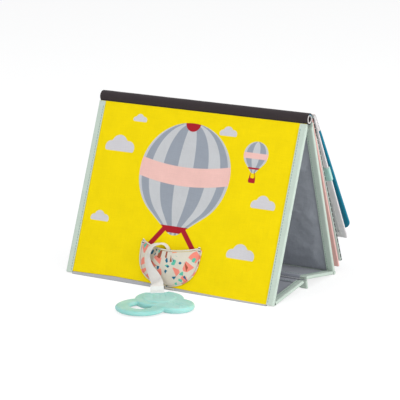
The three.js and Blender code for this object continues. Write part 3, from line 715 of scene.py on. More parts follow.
def envelope(x, s, cx, top, wide, narrow, drop):
    """Distance in mm from a balloon: a wide circle and a narrow one below it, joined by their tangents.
    Also gives the balloon's half width at each height."""
    across, y = abs(x - cx), s - top
    b = (wide - narrow) / drop
    a = math.sqrt(1 - b * b)
    k = -b * across + a * y
    upper = np.hypot(across, y) - wide
    lower = np.hypot(across, y - drop) - narrow
    round_half = np.sqrt(np.clip(wide ** 2 - y ** 2, 0.01, None))
    straight_half = np.clip((wide - b * y) / a, narrow * a, None)
    distance = np.where(k < 0, upper, np.where(k > a * drop, lower, across * a + y * b - wide))
    return distance, np.where(y < wide * b, round_half, straight_half)


def cloud(x, s, cx, base, size):
    """Distance in mm from a cloud: three overlapping circles cut off at a flat base."""
    puffs = [ring_to(x, s, cx + over * size, base - up * size, round_off * size)
             for over, up, round_off in ((-0.62, 0.2, 0.36), (-0.1, 0.42, 0.5), (0.5, 0.22, 0.4))]
    return np.maximum(np.minimum.reduce(puffs), s - base)


x, s = grid[..., 0], grid[..., 2]
big_x, small_x = -5, 74
big, big_half = envelope(x, s, big_x, 67, 54, 13, 52)
small, small_half = envelope(x, s, small_x, 38, 14, 4, 15)
near_small = x > 52
gores = (np.arcsin(np.clip((x - cx) / half, -1, 1)) * count / math.pi
         for cx, half, count in ((small_x, small_half, 5), (big_x, big_half, 9)))
cloud_rows = ((-88, 52, 19), (93, 92, 15), (38, 22, 11), (-96, 128, 12), (78, 146, 17), (-70, 18, 9))
big_belt, big_trim = abs(s - 70 + 0.0022 * (x - big_x) ** 2) - 10, ring_to(x, s, big_x, 13, 9)
store(front_cloth.data, {
    "balloon": np.minimum(big, small),
    "gore": np.where(near_small, *gores) + 20,
    "cloud": np.minimum.reduce([cloud(x, s, *row) for row in cloud_rows]),
    "rope": np.minimum.reduce([
        strap(x, s, (-15, 124), (-34, 150), 2.8), strap(x, s, (5, 124), (27, 150), 2.8),
        strap(x, s, (72, 56), (71, 62), 0.7), strap(x, s, (76, 56), (77, 62), 0.7),
        np.maximum(abs(x - small_x) - 4, abs(s - 64.5) - 2.5)]),
    "belt": np.where(near_small, abs(s - 39) - 3, big_belt),
    "trim": np.where(near_small, abs(s - 52) - 1, np.minimum(abs(s - 126) - 3.5, big_trim)),
})


crease_rows = (
    ((118, 58), (62, 44), 2.6, 0.9), ((118, 66), (74, 88), 2.2, 0.8), ((96, 96), (40, 118), 3.2, 0.9),
    ((118, 120), (80, 104), 2.4, 0.7), ((112, 150), (50, 160), 3.6, 1.0))


def lining_swell(sign, seed, top, foot):
    """Slack lining: broad soft folds, and a few slanting creases that run in from each side tape."""
    def swell(across, down):
        open_part = between(across, -115, 115, 12) * between(down, top, foot, 14)
        folds = 0.6 * ripple(across * 0.8, down * 1.5, seed, 62) + 0.4 * ripple(across, down, seed + 1, 30)
        side = abs(across)
        creases = sum(height * np.exp(-(strap(side, down, start, end, 0) / width) ** 2)
                      for start, end, width, height in crease_rows)
        return sign * open_part * (0.5 + 1.3 * np.clip(0.4 + folds, 0, 2) + creases)
    return swell


front_lining, _ = cloth(
    "front_lining_cloth", in_front, -half_cloth, half_cloth, 8, 181.3, 2.0, 2.4, lining_cotton, "front_cover",
    "lining_cloth", ["front_cover_lining"], lining_swell(1, 21, 10, 176), step=2.4)
side_tapes("front_cover", in_front, -1.0, 3.2, 0.3, 186.95, thin=thinned(-1.0, 3.2, -0.7, 0.6), first=5)


def crease_lift(across, off, down):
    """How far the crease strip's outer edge follows the print's lower edge."""
    return print_hem(across) * smooth_step((0.1 - off) / 0.4) * smooth_step((188.3 - down) / 2)


creased = np.array([
    [0.55, 181.7], [1.4, 181.6], [2.6, 181.6], [3.0, 182.0], [3.0, 185.0], [3.0, floor_at(3.0) - 0.5],
    [2.7, floor_at(2.7)], [1.2, floor_at(1.2)], [0, floor_at(0)], [-0.4, floor_at(-0.4)],
    [-0.62, floor_at(-0.6) - 0.4], [-0.66, 187.7], [-0.64, 187.3], [-0.63, 187.0], [-0.62, 186.8],
    [-0.6, 186.6], [-0.55, 186.35], [-0.38, 186.12], [0.2, 186.09], [0.5, 185.95], [0.5, 184.8],
    [0.5, 182.8]])
roll("front_foot_crease", in_front, creased, crease_cotton, "front_cover", "base_cloth",
     ["front_cover_crease"], -between_tapes, between_tapes, lift=crease_lift)


# Pocket: a half round of cloth that stands off the cover at its mouth

pocket_centre, pocket_half, pocket_top, pocket_foot = -3.2, 34.8, 142.3, 184.2


def mouth(u):
    """How far down the pocket's mouth is: an arc that hangs lowest in the middle."""
    return pocket_top + 7.8 * (1 - u * u)


def half_at(v):
    """The pocket's half width at a share of its depth."""
    return pocket_half * np.sqrt(1 - np.clip(v, 0, 1) ** 3.4)


def bulge(u, v):
    """How far the pouch stands off the cover: most at the middle of its mouth, nothing at its seam."""
    return 8.5 * (1 - u * u) * np.clip(1 - v * v, 0, 1) ** 0.8


def pocket_face(u, v, offset):
    """The pouch: u runs across it and v down it, its half width closes as a half round, and it stands
    off the cover most at the middle of its mouth. Small gathers run up from the seam."""
    down = mouth(u) + (pocket_foot - mouth(u)) * v
    gathers = 0.35 * np.clip(v, 0, 1) ** 2 * (1 - v ** 6) * np.sin(9 * u + 1.5 * np.sin(3 * u)) * (1 - u * u)
    slack = 0.5 * ripple(u * 30, v * 30, 12, 26) * (1 - u * u) * (1 - v ** 4)
    off = -(0.5 + bulge(u, v) + offset + np.clip(gathers + slack, -0.3, 0.7) * (1 - np.exp(-bulge(u, v))))
    return pocket_centre + u * half_at(v), off, down


u = np.linspace(-1, 1, 61)[None, :]
v = 0.99 * np.sin(np.linspace(0, 1, 40) * math.pi / 2)[:, None]
outer, inner = (np.stack(np.broadcast_arrays(*pocket_face(u, v, offset)), -1) for offset in (0.8, 0.15))
pouch_grid = np.concatenate([outer, inner[:, ::-1]], 1)
pouch = make("pocket_pouch_cloth", in_front(*np.moveaxis(pouch_grid, -1, 0)),
             carried_faces(*pouch_grid.shape[:2]), terrazzo_cotton, "front_cover", "pocket_cloth",
             ["pocket_pouch"], pouch_grid[..., [0, 2, 1]])


def cord_along(name, place, over, off, down, radius, material, body, slot, nodes, around=10, flat=1.0,
               twist=0.0):
    """A round hem or piping: a ring of points is carried square to the line, with faint twist ridges."""
    line = np.stack([over, off, down], -1)
    tangent = np.gradient(line, axis=0)
    tangent /= np.linalg.norm(tangent, axis=1)[:, None]
    up = np.broadcast_to([0.0, 1.0, 0.0], line.shape)
    side = np.cross(tangent, up)
    side /= np.linalg.norm(side, axis=1)[:, None]
    up = np.cross(side, tangent)
    turn = np.linspace(0, 2 * math.pi, around, endpoint=False)[None, :]
    run = np.cumsum(np.r_[0, np.linalg.norm(np.diff(line, axis=0), axis=1)])[:, None]
    size = radius * (1 + twist * np.cos(2 * turn - run * 2.2))
    wide, high = (size * np.cos(turn))[..., None], (size * flat * np.sin(turn))[..., None]
    ring = line[:, None] + wide * side[:, None] + high * up[:, None]
    lay = np.stack([turn * radius + 0 * run, run + 0 * turn, 0 * run * turn], -1)
    return make(name, place(*np.moveaxis(ring, -1, 0)), carried_faces(*ring.shape[:2]), material, body, slot,
                nodes, lay, crease=180)


u = np.linspace(-0.972, 0.972, 60)
cord_along("pocket_hem", in_front, pocket_centre + u * pocket_half, -(0.2 + 0.3 + 0.9) - bulge(u, 0),
           mouth(u) - 1.2, 0.85, hem_cotton, "front_cover", "pale_cloth", ["pocket_mouth_hem"], flat=0.8,
           twist=0.05)
piping_steps = 91
turn = np.linspace(0, math.pi, piping_steps)
spread = 0.8
v = np.sin(turn)
down = mouth(1) + 0.6 + (pocket_foot + spread - mouth(1) - 0.6) * v
depth = np.clip((down - spread * v - mouth(1)) / (pocket_foot - mouth(1)), 0, 1)
reach = half_at(depth) + spread * abs(np.cos(turn)) + 0.2
over = np.where(np.arange(piping_steps) == piping_steps // 2, pocket_centre,
                pocket_centre - np.sign(np.cos(turn)) * reach)
cord_along("pocket_piping", in_front, over, np.full(piping_steps, -1.2), down, 0.68, terrazzo_cotton,
           "front_cover", "pocket_cloth", ["pocket_edge_piping"], twist=0.06)

for word, sign in (("left", -1), ("right", 1)):
    middle = pocket_centre + sign * (pocket_half - 1.2)
    count, rings, points = 6, 7, 8
    k = np.arange(count)[:, None, None]
    t = np.linspace(-1, 1, rings)[None, :, None]
    a = np.arange(points)[None, None, :] * 2 * math.pi / points
    size = 0.44 * np.sqrt(1.05 - t ** 4)
    over = middle + 1.6 * t + 0 * a + 0 * k
    along = 140.6 + k * 0.95 + 0.45 * t * (-1) ** k + size * np.cos(a)
    off = -1.9 - 0.85 * np.exp(-((along - 142) / 1.2) ** 2) - 0.2 * (1 - t * t) - size * np.sin(a)
    make(f"pocket_tack_{word}", in_front(over, off, along), copies(rings, points, count), tack_thread,
         "front_cover", "red_thread", [f"pocket_bartack_{word}"], ply=np.broadcast_to(k % 3 != 1, over.shape))

tab_left, tab_top = pocket_centre + 2, pocket_foot + spread + 0.7 + 0.3
tab_profile = np.array([[-1.7, 0.3], [-1.72, 1.0], [-1.7, 1.6], [-1.45, 1.78], [-1.15, 1.78], [-0.92, 1.6],
                        [-0.9, 1.0], [-0.92, 0.3], [-1.1, 0.05], [-1.5, 0.05]])
roll("pocket_foot_loop", in_front, tab_profile + (0, tab_top), terrazzo_cotton, "front_cover",
     "pocket_cloth", ["pocket_foot_tab"], tab_left, tab_left + 10.5, step=0.8)


# Ribbon: across, below the hinge line, off the cover, folded width and turn, as in the part's source

ribbon_route = [
    (-3.6, 160.2, 1.5, 6, -30), (-3.9, 152.5, 2.6, 6, -60), (-5.4, 146.2, 4.4, 6, -84),
    (-8.6, 143.6, 6.6, 7, -86), (-12.8, 143.7, 9.2, 8.5, -76), (-17.8, 146, 12.6, 10, -50),
    (-21.9, 152.2, 12.8, 10.5, -33), (-23.5, 158.8, 10.6, 10, -26), (-22.1, 164.9, 9.6, 10, -24),
    (-17.8, 171.1, 9.6, 10.8, -15), (-12.2, 176.7, 10, 12.2, -5), (-7.8, 181.5, 10.6, 13.4, 0),
]
bar = np.array([7.0, -67.8242, 3.5]) / 1000
bar_turn, tail_rise = math.radians(33.7), math.radians(23)
bar_along = np.array([math.cos(bar_turn), math.sin(bar_turn), 0.0])
bar_back = np.array([-math.sin(bar_turn), math.cos(bar_turn), 0.0])
upward = np.array([0, 0, 1.0])


def tail_point(reach):
    """A place on the ribbon's sewn tail, at a reach in mm from the bar."""
    return bar + reach / 1000 * (math.cos(tail_rise) * bar_back + math.sin(tail_rise) * upward)


def smooth_curve(points, steps):
    """A centripetal spline through the points: in each span a cubic whose end slopes weigh the spans on
    both sides by the square root of their lengths. Gives the points and their places along the list."""
    ends = np.concatenate([[2 * points[0] - points[1]], points, [2 * points[-1] - points[-2]]])
    place = np.linspace(0, len(points) - 1, steps)
    i = np.minimum(place.astype(int), len(points) - 2)
    t = (place - i)[:, None]
    p0, p1, p2, p3 = ends[i], ends[i + 1], ends[i + 2], ends[i + 3]
    d0, d1, d2 = (np.sqrt(np.linalg.norm(q - p, axis=1))[:, None] for p, q in ((p0, p1), (p1, p2), (p2, p3)))
    m1 = d1 * ((p1 - p0) / d0 - (p2 - p0) / (d0 + d1) + (p2 - p1) / d1)
    m2 = d1 * ((p2 - p1) / d1 - (p3 - p1) / (d1 + d2) + (p3 - p2) / d2)
    return p1 + m1 * t + (3 * (p2 - p1) - 2 * m1 - m2) * t ** 2 + (2 * (p1 - p2) + m1 + m2) * t ** 3, place


def make_ribbon():
    """The ribbon: a strip that cups away from the cover where the route is narrow and lies flat at its
    full width near the bar. The section is carried along the spline and turned as the route says."""
    route = np.array(ribbon_route, float)
    centres = np.concatenate([in_front(route[:, 0], -route[:, 2], route[:, 1]),
                              [tail_point(17.0), tail_point(12.3)]])
    widths = np.r_[route[:, 3], 13.4, 13.4]
    turns = np.radians(np.r_[route[:, 4], 0, 0])
    line, place = smooth_curve(centres, 120)
    tangent = np.gradient(line, axis=0)
    tangent /= np.linalg.norm(tangent, axis=1)[:, None]
    normal = in_front(0, -1, 0) - in_front(0, 0, 0)
    normal = normal / np.linalg.norm(normal)
    flat = np.cross(tangent, normal)
    flat /= np.linalg.norm(flat, axis=1)[:, None]
    edge_on = np.cross(flat, tangent)
    turn = np.interp(place, np.arange(len(turns)), turns)[:, None]
    across = flat * np.cos(turn) + edge_on * np.sin(turn)
    share = smooth_step((place / (len(centres) - 1) - 0.82) / 0.18)[:, None]
    facing = np.where((across @ bar_along) < 0, -1.0, 1.0)[:, None]
    across = across * (1 - share) + facing * bar_along * share
    across -= tangent * (across * tangent).sum(1)[:, None]
    across /= np.linalg.norm(across, axis=1)[:, None]
    through = np.cross(tangent, across)
    width = np.interp(place, np.arange(len(widths)), widths)[:, None]
    q = np.linspace(-1, 1, 17)[None, :]
    wide = width / 2 * q
    outward = np.sign((through @ normal).mean())
    deep = outward * (0.22 * (14.5 - width) * (1 - q * q) + 0.12 * np.sin(2.4 * place[:, None] + 2 * q))
    slope = np.stack([np.gradient(wide, axis=1), np.gradient(deep, axis=1)], -1)
    slope /= np.maximum(np.linalg.norm(slope, axis=-1, keepdims=True), 1e-9)
    skin = 0.22 * np.array([[[-1]], [[1]]])
    wide, deep = (np.concatenate([near, far[:, ::-1]], 1)
                  for near, far in (wide - skin * slope[..., 1], deep + skin * slope[..., 0]))
    rings = line[:, None] + (wide[..., None] * across[:, None] + deep[..., None] * through[:, None]) / 1000
    run = np.cumsum(np.r_[0, np.linalg.norm(np.diff(line, axis=0), axis=1)])[:, None] * 1000
    lay = np.stack([np.concatenate([q, q[:, ::-1]], 1) * 7.5 + 0 * run, run + 0 * wide, 0 * wide], -1)
    ribbon = make("ribbon_strip", rings, carried_faces(*wide.shape), ribbon_weave, "front_cover",
                  "ribbon_satin", ["teether_ribbon"], lay, crease=60)
    middles = rings.mean(1)
    length = np.linalg.norm(np.diff(middles, axis=0), axis=1).sum()
    return ribbon, middles, float(length)


ribbon, ribbon_middles, ribbon_length = make_ribbon()


def in_bar(along, out, up):
    """The frame of the teether's bar: along it, out toward the book and up, in mm."""
    along, out, up = np.broadcast_arrays(along, out, up)
    moved = along[..., None] * bar_along + out[..., None] * bar_back + up[..., None] * upward
    return bar + moved / 1000


def make_end_loop():
    """The ribbon's end: the strip goes round the bar and lies on itself in a sewn tail. The line of its
    outside and inside is carried along the bar."""
    n, bends = 16, 34
    turn = np.linspace(tail_rise + 0.25, tail_rise - 0.25 + 2 * math.pi, bends)
    outer_arc, inner_arc = (radius * np.stack([np.cos(turn), np.sin(turn)], -1) for radius in (3.2, 2.4))
    tail = np.array([[12.0, 0.8], [12.0, 0.1], [12.0, -0.1], [12.0, -0.8]])
    c, s = math.cos(tail_rise), math.sin(tail_rise)
    spun_tail = np.stack([tail[:, 0] * c - tail[:, 1] * s, tail[:, 0] * s + tail[:, 1] * c], -1)
    steps = np.linspace(0, 1, 6)[:, None]
    lower = outer_arc[-1] * (1 - steps) + spun_tail[3] * steps
    upper = spun_tail[0] * (1 - steps) + outer_arc[0] * steps
    outside = np.concatenate([outer_arc, lower[1:], upper[:-1]])
    along = np.linspace(-6.9, 6.9, n)[:, None]
    out_points, in_points = (in_bar(along + 0 * line[:, 0], line[:, 0] + 0 * along, line[:, 1] + 0 * along)
                             for line in (outside, inner_arc[::-1]))
    m, k = len(outside), bends
    base = n * m
    faces = [quads(n, m, column_wraps=True), quads(n, k, column_wraps=True) + base]
    for ring in (0, n - 1):
        out_first, in_first = ring * m, base + ring * k
        i = np.arange(k - 1)
        faces.append(np.stack([out_first + i, out_first + i + 1, in_first + k - 2 - i, in_first + k - 1 - i],
                              -1))
        i = np.arange((m - bends) // 2 - 1)
        left, right = out_first + bends + i, out_first + m - 1 - i
        faces.append(np.array([[out_first + bends - 1, out_first + bends, out_first + m - 1, out_first]]))
        faces.append(np.stack([left, left + 1, right - 1, right], -1))
        faces.append(np.array([[in_first, in_first + k - 1, out_first, out_first + bends - 1]]))
    points = np.concatenate([out_points.reshape(-1, 3), in_points.reshape(-1, 3)])
    around = np.concatenate([np.tile(np.arange(m) * 0.7, n), np.tile(np.arange(k) * 0.5, n)])
    over = np.concatenate([np.repeat(along[:, 0], count) for count in (m, k)])
    lay = np.stack([over, around, 0 * around], -1)
    # The loop wears the ribbon's lighter copy, painted light for where it faces up
    loop = make("ribbon_sewn_loop", points, np.concatenate(faces), lit_loop_weave, "front_cover", "ribbon_satin",
                ["ribbon_end_loop"], lay, crease=50)

    def on_tail(over, off, down):
        return in_bar(over, down * c - off * s, down * s + off * c)

    for word, side in (("top", 1), ("under", -1)):
        stitches(f"ribbon_loop_stitches_{word}", on_tail, np.linspace(-6.2, 6.2, 50), np.full(50, 5.6),
                 side * 0.82, side, pale_thread, "front_cover", "ribbon_satin", pitch=1.9, length=1.4,
                 radius=0.2)
    return loop


end_loop = make_end_loop()


# Teether: half its thickness over a flat grid, the same above and below

def make_teether():
    """Each lobe's half thickness rounds off toward its edge, by its distance inside the outline, and the
    greatest of them stands. A rim, a stepped dome and leaf veins are added, then the skin is evened out."""
    step = 0.5
    a, f = np.meshgrid(np.arange(-46, 38, step), np.arange(-5, 72, step))
    from_disc, from_leaf = np.hypot(a - 1.2, f - 21.7), np.hypot(a - 16.7, f - 42)
    from_hole = np.hypot(a + 18, f - 43.5)
    notch = np.maximum(abs(a) - 9.5, f - 5)
    disc = np.minimum(25.2 - from_disc, notch)
    ring = np.minimum(26 - from_hole, from_hole - 10.5)
    leaf = np.minimum(19 - from_leaf, notch)
    rod = np.minimum(2 - abs(f), 11 - abs(a))

    def rounded(d, edge, power=2.2):
        return (1 - (1 - np.clip(d / edge, 0, 1)) ** power) ** (1 / power)

    dome = 2.9 * rounded(disc, 1.8) + 0.75 * smooth_step((17 - from_disc) / 1.2) * (disc > 1.5)
    for place in (-5, 1, 7):
        ridge = np.hypot(a - place, np.maximum(abs(f - 19) - 5, 0))
        dome = dome - 0.8 * np.exp(-(ridge / 1.1) ** 2) * (disc > 1.5)
    band = 2.5 * rounded(ring, 5.5, 2.3)
    rib = strap(a, f, (5, 27), (27, 54.5), 0)
    veins = np.exp(-(rib / 0.9) ** 2)
    for share in (0.25, 0.5, 0.75):
        root = np.array([5 + 22 * share, 27 + 27.5 * share])
        for side in (-1, 1):
            tip = root + 8.5 * np.array([math.cos(0.918 + side * 0.85), math.sin(0.918 + side * 0.85)])
            veins = np.maximum(veins, 0.8 * np.exp(-(strap(a, f, root, tip, 0) / 0.7) ** 2))
    lobe = 2.8 * rounded(leaf, 2.0) + 0.75 * veins * smooth_step((leaf - 1.6) / 1.5)
    height = np.maximum.reduce([dome * (disc > 0), band * (ring > 0), lobe * (leaf > 0)])
    height = np.maximum(height, np.sqrt(np.clip(4 - f * f, 0, None)) * (rod > 0))
    depth = np.maximum.reduce([disc, ring, leaf, rod])
    inner = depth > 0
    keep = inner[:-1, :-1] | inner[1:, :-1] | inner[:-1, 1:] | inner[1:, 1:]
    gf, ga = np.gradient(depth, step)
    size = np.maximum(ga ** 2 + gf ** 2, 0.3)
    move = np.where(inner, 0, -depth) / size
    a2, f2 = a + move * ga, f + move * gf
    height = np.where(inner, height, 0)
    rows, columns = a.shape
    top = quads(rows, columns)[keep.reshape(-1)]
    used = np.unique(top)
    index = np.full(rows * columns, -1)
    index[used] = np.arange(len(used))
    top = index[top]
    edge = height.reshape(-1)[used] <= 0
    under = np.where(edge, np.arange(len(used)), np.cumsum(~edge) - 1 + len(used))
    flat_a, flat_f, flat_h = (q.reshape(-1)[used] for q in (a2, f2, height))
    points = in_bar(np.r_[flat_a, flat_a[~edge]], -np.r_[flat_f, flat_f[~edge]],
                    np.r_[flat_h, -flat_h[~edge]])
    rough = make("teether_moulding", points, np.concatenate([top, under[top][:, ::-1]]), silicone, "teether",
                 "silicone", ["teether"], crease=180)
    remesh = rough.modifiers.new("even", "REMESH")
    remesh.mode, remesh.voxel_size, remesh.use_smooth_shade = "VOXEL", 0.00055, True
    ease = rough.modifiers.new("ease", "SMOOTH")
    ease.factor, ease.iterations = 0.5, 3
    evaluated = rough.evaluated_get(bpy.context.evaluated_depsgraph_get())
    mesh = bpy.data.meshes.new_from_object(evaluated)
    rough.modifiers.clear()
    rough.data = mesh
    mesh.shade_smooth()
    if not mesh.materials:
        mesh.materials.append(silicone)
    return rough


make_teether()


# Base flaps and the closure lip

def base_flap(body, place, start, end, middle, seed, slack, seam_in, fold, fold_node):
    """A base flap: its upper and under cloth, the tapes on its sides and the tape folded over its end."""
    low, high = middle - 1.9, middle + 1.9
    for word, sign in (("top", 1), ("under", -1)):
        def swell(across, down, size=0.3 * sign):
            open_part = between(across, -115, 115, 10) * between(down, *slack, 8)
            return size * open_part * (0.4 + ripple(across, down, seed, 42))
        near, far = sorted((middle + 0.7 * sign, middle + 1.1 * sign))
        sheet, _ = cloth(f"{body}_{word}_sheet", place, -half_cloth, half_cloth, start, end - 0.8, near, far,
                         base_cotton, body, "base_cloth", [f"{body}_{word}_cloth"], swell, step=2.6)
    side_tapes(body, place, low, high, start, end, thin=closed_end(low, high, end), seam_in=seam_in)
    end_tape(fold, place, low, high, end, body, fold_node, material=base_cotton)


flap_end, crest_start, crest_end, lip_end = 61.721, 3.9645, 65.799, 9.274
base_flap("front_flap", in_front_flap, 0.3, flap_end, -2.05, 31, (2, 53), 2.6,
          "front_flap_end_tape", "front_flap_binding_end")
base_flap("rear_flap", in_rear_flap, crest_start, crest_end, 0, 35, (6, 57), 1.5,
          "rear_flap_crest_fold", "rear_flap_crest_tape")

lip_panel, _ = cloth("closure_lip_pad", in_lip, -half_cloth, half_cloth, -0.45, lip_end - 0.8, -2.15, -0.95,
                     base_cotton, "closure_lip", "base_cloth", ["closure_lip_panel"], step=1.4)
side_tapes("closure_lip", in_lip, -2.95, -0.15, -0.4, lip_end,
           thin=lambda down: (-2.95 + 0 * down, -0.9 + 0.75 * smooth_step((down + 0.4) / 1.6)))
end_tape("closure_lip_end_tape", in_lip, -2.95, -0.15, lip_end, "closure_lip", "closure_lip_binding_end",
         width=4)

# Hook-and-loop strips: a low bar each, with uneven pile on its face
for name, place, low, high, top, foot, material, body, node in (
        ("closure_loop_pile", in_front_flap, -3.45, -0.65, flap_end + 0.3, flap_end + 0.8, loop_pile,
         "front_flap", "front_flap_loop_strip"),
        ("closure_hook_field", in_lip, -3.75, -3.3, 2.29, 7.28, hook_pile, "closure_lip",
         "closure_lip_hook_strip")):
    cloth(name, place, -75, 75, top, foot, low, high, material, body, "pale_cloth", [node],
          lambda across, down: 0.1 * ripple(across * 9, down * 9, 51, 9), step=0.7)


# Rear cover

def rear_swell(across, down):
    """A slight soft swell of the rear cloth, none under the tapes."""
    open_part = between(across, -115, 115, 14) * between(down, 2, 176, 16)
    return 0.25 * open_part * (1 + ripple(across, down, 61, 50))


rear_cloth, _ = cloth("rear_outer_cloth", in_rear, -half_cloth, half_cloth, 0, rear_foot, -0.2, 0.2,
                      pale_cotton, "rear_cover", "pale_cloth", ["rear_cover_cloth"], rear_swell, step=2.6)
rear_lining, _ = cloth("rear_lining_cloth", in_rear, -half_cloth, half_cloth, 8, rear_foot, -2.4, -2.0,
                       lining_cotton, "rear_cover", "lining_cloth", ["rear_cover_lining"],
                       lining_swell(-1, 27, 10, 176), step=2.0)
side_tapes("rear_cover", in_rear, -3.2, 1.0, 0.3, rear_foot, thin=thinned(-3.2, 1.0, -0.9, 0.8))

# The crease roll is pressed flat where it would go below the floor
roll_radius = 2.1
turn = np.linspace(0, 2 * math.pi, 28, endpoint=False)
foot_roll = np.stack([-1.1 + roll_radius * np.cos(turn), 181.889 + roll_radius * np.sin(turn)], -1)
drop = np.array([-math.sin(math.radians(rear_lean)), math.cos(math.radians(rear_lean))])
foot_roll = foot_roll - np.clip(foot_roll @ drop - hinge_height, 0, None)[:, None] * drop
roll("rear_foot_roll", in_rear, foot_roll, mint_cotton, "rear_cover", "mint_tape", ["rear_cover_crease"],
     -half_book, half_book)


# Leaves: each row has the leaf's lean, where its tape starts, its length, corner and puff, and its tape

half_leaf, page_inset = 124, 0.7
leaf_rows = [
    (21.3, 2, 188.7, 1.5, 1.1, pink_cotton, "pink_tape"),
    (22.9, 3, 186.5, 1.5, 1.1, dashed_cotton, "dashed_tape"),
    (29.3, 5, 173.4, 1.5, 1.1, grey_cotton, "grey_tape"),
    (32.4, 27, 171.0, 10.0, 1.9, teal_cotton, "teal_tape"),
]


def leaf_middle(number):
    """How far a page's middle lies off the spine's axis."""
    return 6.7 + 1.8 * (number - 1)


def leaf_top(number):
    """How far below the spine's axis a page begins."""
    return 1.5 * (number - 1)


def make_leaf(number, angle, start, length, corner, puff, binding, slot):
    """A quilted page, the tape folded round three of its sides, and the tape's stitches on both faces."""
    place, body, middle = hung(*spine_axis, angle), f"leaf_{number}", leaf_middle(number)
    half, foot, outer = half_leaf - page_inset, length - page_inset, middle + puff
    bend = max(corner - page_inset, 0.6)
    fuller = 0.7 * (number == 2)

    def narrow(down):
        drop = np.clip(down - foot + bend, 0, bend)
        return half - bend + np.sqrt(bend ** 2 - drop ** 2)

    def swell(across, down):
        open_part = between(across, -114, 114, 16) * between(down, 30, length - 10, 22)
        return 0.35 * open_part * ripple(across, down, 70 + number, 60)

    def thin(down):
        grown, lower = smooth_step((down - 22) / 10), smooth_step((down - 60) / 60)
        return middle - 0.62 - 0.48 * grown, middle + 0.62 + (outer - middle - 0.62) * grown + fuller * lower

    page, _ = cloth(f"{body}_quilted_page", place, -half, half, leaf_top(number), foot, middle - 0.4,
                    middle + 0.4, page_cottons[number - 1], body, slot, [f"{body}_page"], swell, step=2.6,
                    narrow=narrow)
    tape(f"{body}_edge_tape", place, lambda inset: foot_line(half_leaf, start, length, corner, inset),
         tape_section(tape_width, middle - 1.1, outer, 0.4, radius=0.95), binding, body, slot,
         [f"{body}_binding"], pucker=0.05, seed=number, thin=thin)
    for word, inset, side in (("inner", 6.5, -1), ("outer", 5.5, 1)):
        over, down = (line[:, 0] for line in foot_line(half_leaf, 34, length, corner, [inset], across=40))
        off = thin(down)[side > 0] + side * 0.02
        stitches(f"{body}_stitches_{word}", place, over, down, off, side, pale_thread, body, slot)


def leaf_root(number, angle):
    """The cloth that joins a leaf to the spine: a thin band from inside the leaf's top edge, bent over
    the edge and taken straight to the sleeve. It turns with the leaf about the spine's own axis."""
    middle, top = leaf_middle(number), leaf_top(number)
    t = np.linspace(0, 1, 12)[:, None]
    bend = np.array([[middle, top + 0.8], [middle, top - 0.1], [5.9, -2.57]])
    line = bend[0] * (1 - t) ** 2 + bend[1] * 2 * t * (1 - t) + bend[2] * t ** 2
    way = np.gradient(line, axis=0)
    way = way / np.hypot(*way.T)[:, None]
    side = way[:, ::-1] * (1, -1) * 0.2
    roll(f"leaf_{number}_root", hung(*spine_axis, angle), np.concatenate([line + side, (line - side)[::-1]]),
         root_cotton, f"leaf_{number}", "pale_cloth", [], -123.2, 123.2, step=6)


for number, row in enumerate(leaf_rows, 1):
    make_leaf(number, *row)
for number, row in enumerate(leaf_rows, 1):
    leaf_root(number, row[0])

for word, sign in (("left", -1), ("right", 1)):
    tape(f"leaf_4_collar_{word}", hung(*spine_axis, leaf_rows[3][0]),
         side_line(sign, half_leaf, 5.4, 26.7, 16), tape_section(6, 10.95, 13.25, 0.35, radius=0.9),
         collar_cotton, "leaf_4", "dashed_tape", [])

# The third leaf's ribbon tab, folded over the leaf's edge: insets and places off the leaf's middle
tab_start, tab_height, tab_edge = 74, 17, 124.8
tab_outer = [[9, 1.9], [6, 1.92], [3, 1.92], [0.4, 1.88], [0.05, 1.6], [0, 0]]
tab_inner = [[9, 1.4], [6, 1.4], [3, 1.4], [0.8, 1.4], [0.55, 1.2], [0.5, 0]]
outer_line, inner_line = (
    np.concatenate([np.array(half) * (1, -1), np.array(half[-2::-1])]) for half in (tab_outer, tab_inner))
tab_section = np.concatenate([outer_line, inner_line[::-1]])
down = np.linspace(tab_start, tab_start + tab_height, 14)[:, None]
over = tab_edge - tab_section[:, 0][None, :] + 0 * down
off = leaf_middle(3) + tab_section[:, 1][None, :] + 0 * down
down = down + 0 * over
# The tab's cloth is its own aqua, painted lighter as painted light
make("leaf_3_mint_tab", hung(*spine_axis, leaf_rows[2][0])(over, off, down), carried_faces(*over.shape),
     lit_tab_cotton, "leaf_3", "mint_tape", ["leaf_3_ribbon_tab"], np.stack([over, down, off], -1))


# Boards stay as they are in the part, with their own finish
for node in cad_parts.values():
    if not node.hide_render:
        node.data.materials.clear()
        node.data.materials.append(board)


# Floor, light and camera

yaw, pitch = math.radians(30.30), math.radians(14.01)


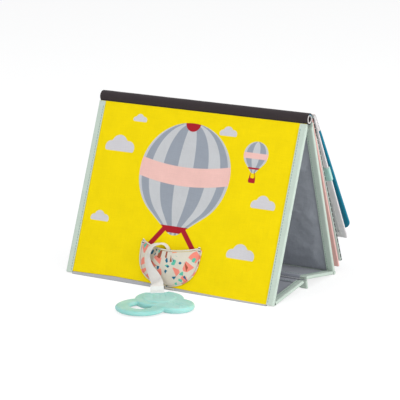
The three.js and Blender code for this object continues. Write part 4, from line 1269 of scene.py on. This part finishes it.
def stage_floor():
    """A pale seamless floor that rises far behind into a backdrop; the camera sees it nearly white."""
    across = np.array([[-9.0], [9.0]])
    turn = np.linspace(0, math.pi / 2, 12)
    out = np.concatenate([[-9.0], 8.0 + 0.8 * np.sin(turn), [8.8]])
    up = np.concatenate([[0.0], 0.8 - 0.8 * np.cos(turn), [4.0]])
    x = across * math.cos(yaw) - out * math.sin(yaw)
    y = across * math.sin(yaw) + out * math.cos(yaw)
    points = np.stack([x, y, up + 0 * across], -1).reshape(-1, 3)
    mesh = bpy.data.meshes.new("studio_floor")
    mesh.from_pydata(points.tolist(), [], quads(2, len(out)).tolist())
    mesh.shade_smooth()
    material = bpy.data.materials.new("white_paper_floor")
    tree = cleared(material)
    path = add(tree, "LightPath").node.outputs
    seen = add(tree, "Math", {0: path["Is Camera Ray"], 1: path["Is Glossy Ray"]}, operation="MAXIMUM")
    seen = add(tree, "Math", {0: seen, 1: path["Is Transmission Ray"]}, operation="MAXIMUM")
    plain, lit = (add(tree, "BsdfDiffuse", {"Color": linear(code)}) for code in ("#DEDEDE", "#9A9A9A"))
    glow = add(tree, "Emission", {"Color": (1, 1, 1, 1), "Strength": 0.76})
    both = add(tree, "AddShader", {0: lit, 1: glow})
    add(tree, "OutputMaterial", {"Surface": add(tree, "MixShader", {0: seen, 1: plain, 2: both})})
    mesh.materials.append(material)
    placed("studio_floor", mesh)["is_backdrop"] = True


def studio_world():
    """A soft even light all round, which the camera sees as white."""
    world = bpy.data.worlds.new("studio")
    bpy.context.scene.world = world
    tree = cleared(world)
    path = add(tree, "LightPath").node.outputs
    seen = add(tree, "Math", {0: path["Is Camera Ray"], 1: path["Is Transmission Ray"]}, operation="MAXIMUM")
    light = add(tree, "Background", {"Color": (0.97, 0.98, 1, 1), "Strength": 0.5})
    white = add(tree, "Background", {"Color": (1, 1, 1, 1), "Strength": 1.0})
    add(tree, "OutputWorld", {"Surface": add(tree, "MixShader", {0: seen, 1: light, 2: white})})


def pointed(name, data, place, way):
    """A lamp or camera at a place, looking along a way."""
    holder = placed(name, data)
    holder.location = place
    holder.rotation_mode = "QUATERNION"
    holder.rotation_quaternion = Vector(way).to_track_quat("-Z", "Y")
    return holder


def soft_box(name, place, aim, size, power):
    """A square lamp that shines from a place toward another, unseen by the camera."""
    lamp = bpy.data.lights.new(name, "AREA")
    lamp.shape, lamp.size, lamp.energy = "SQUARE", size, power
    pointed(name, lamp, place, np.array(aim, float) - np.array(place, float)).visible_camera = False


stage_floor()
studio_world()
soft_box("key_light", (-0.7, -1.6, 1.5), (0, 0.03, 0.08), 1.2, 13)
soft_box("low_light", (1.7, -0.95, 0.3), (0.05, 0.04, 0.08), 0.9, 14)
soft_box("right_fill", (1.9, 0.35, 0.7), (0, 0.06, 0.08), 1.2, 12)
soft_box("top_light", (0.1, 0.3, 2.0), (0, 0.03, 0), 1.5, 9.5)

back = np.array([math.sin(yaw) * math.cos(pitch), -math.cos(yaw) * math.cos(pitch), math.sin(pitch)])
target, distance = np.array([-0.00183, 0.03317, 0.07959]), 2.107
lens = bpy.data.cameras.new("camera")
lens.lens, lens.sensor_width = 180, 36
lens.clip_start, lens.clip_end = 0.05, 20
bpy.context.scene.camera = pointed("camera", lens, target + back * distance, -back)
bpy.context.scene.view_settings.view_transform = "Standard"

low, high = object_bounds()
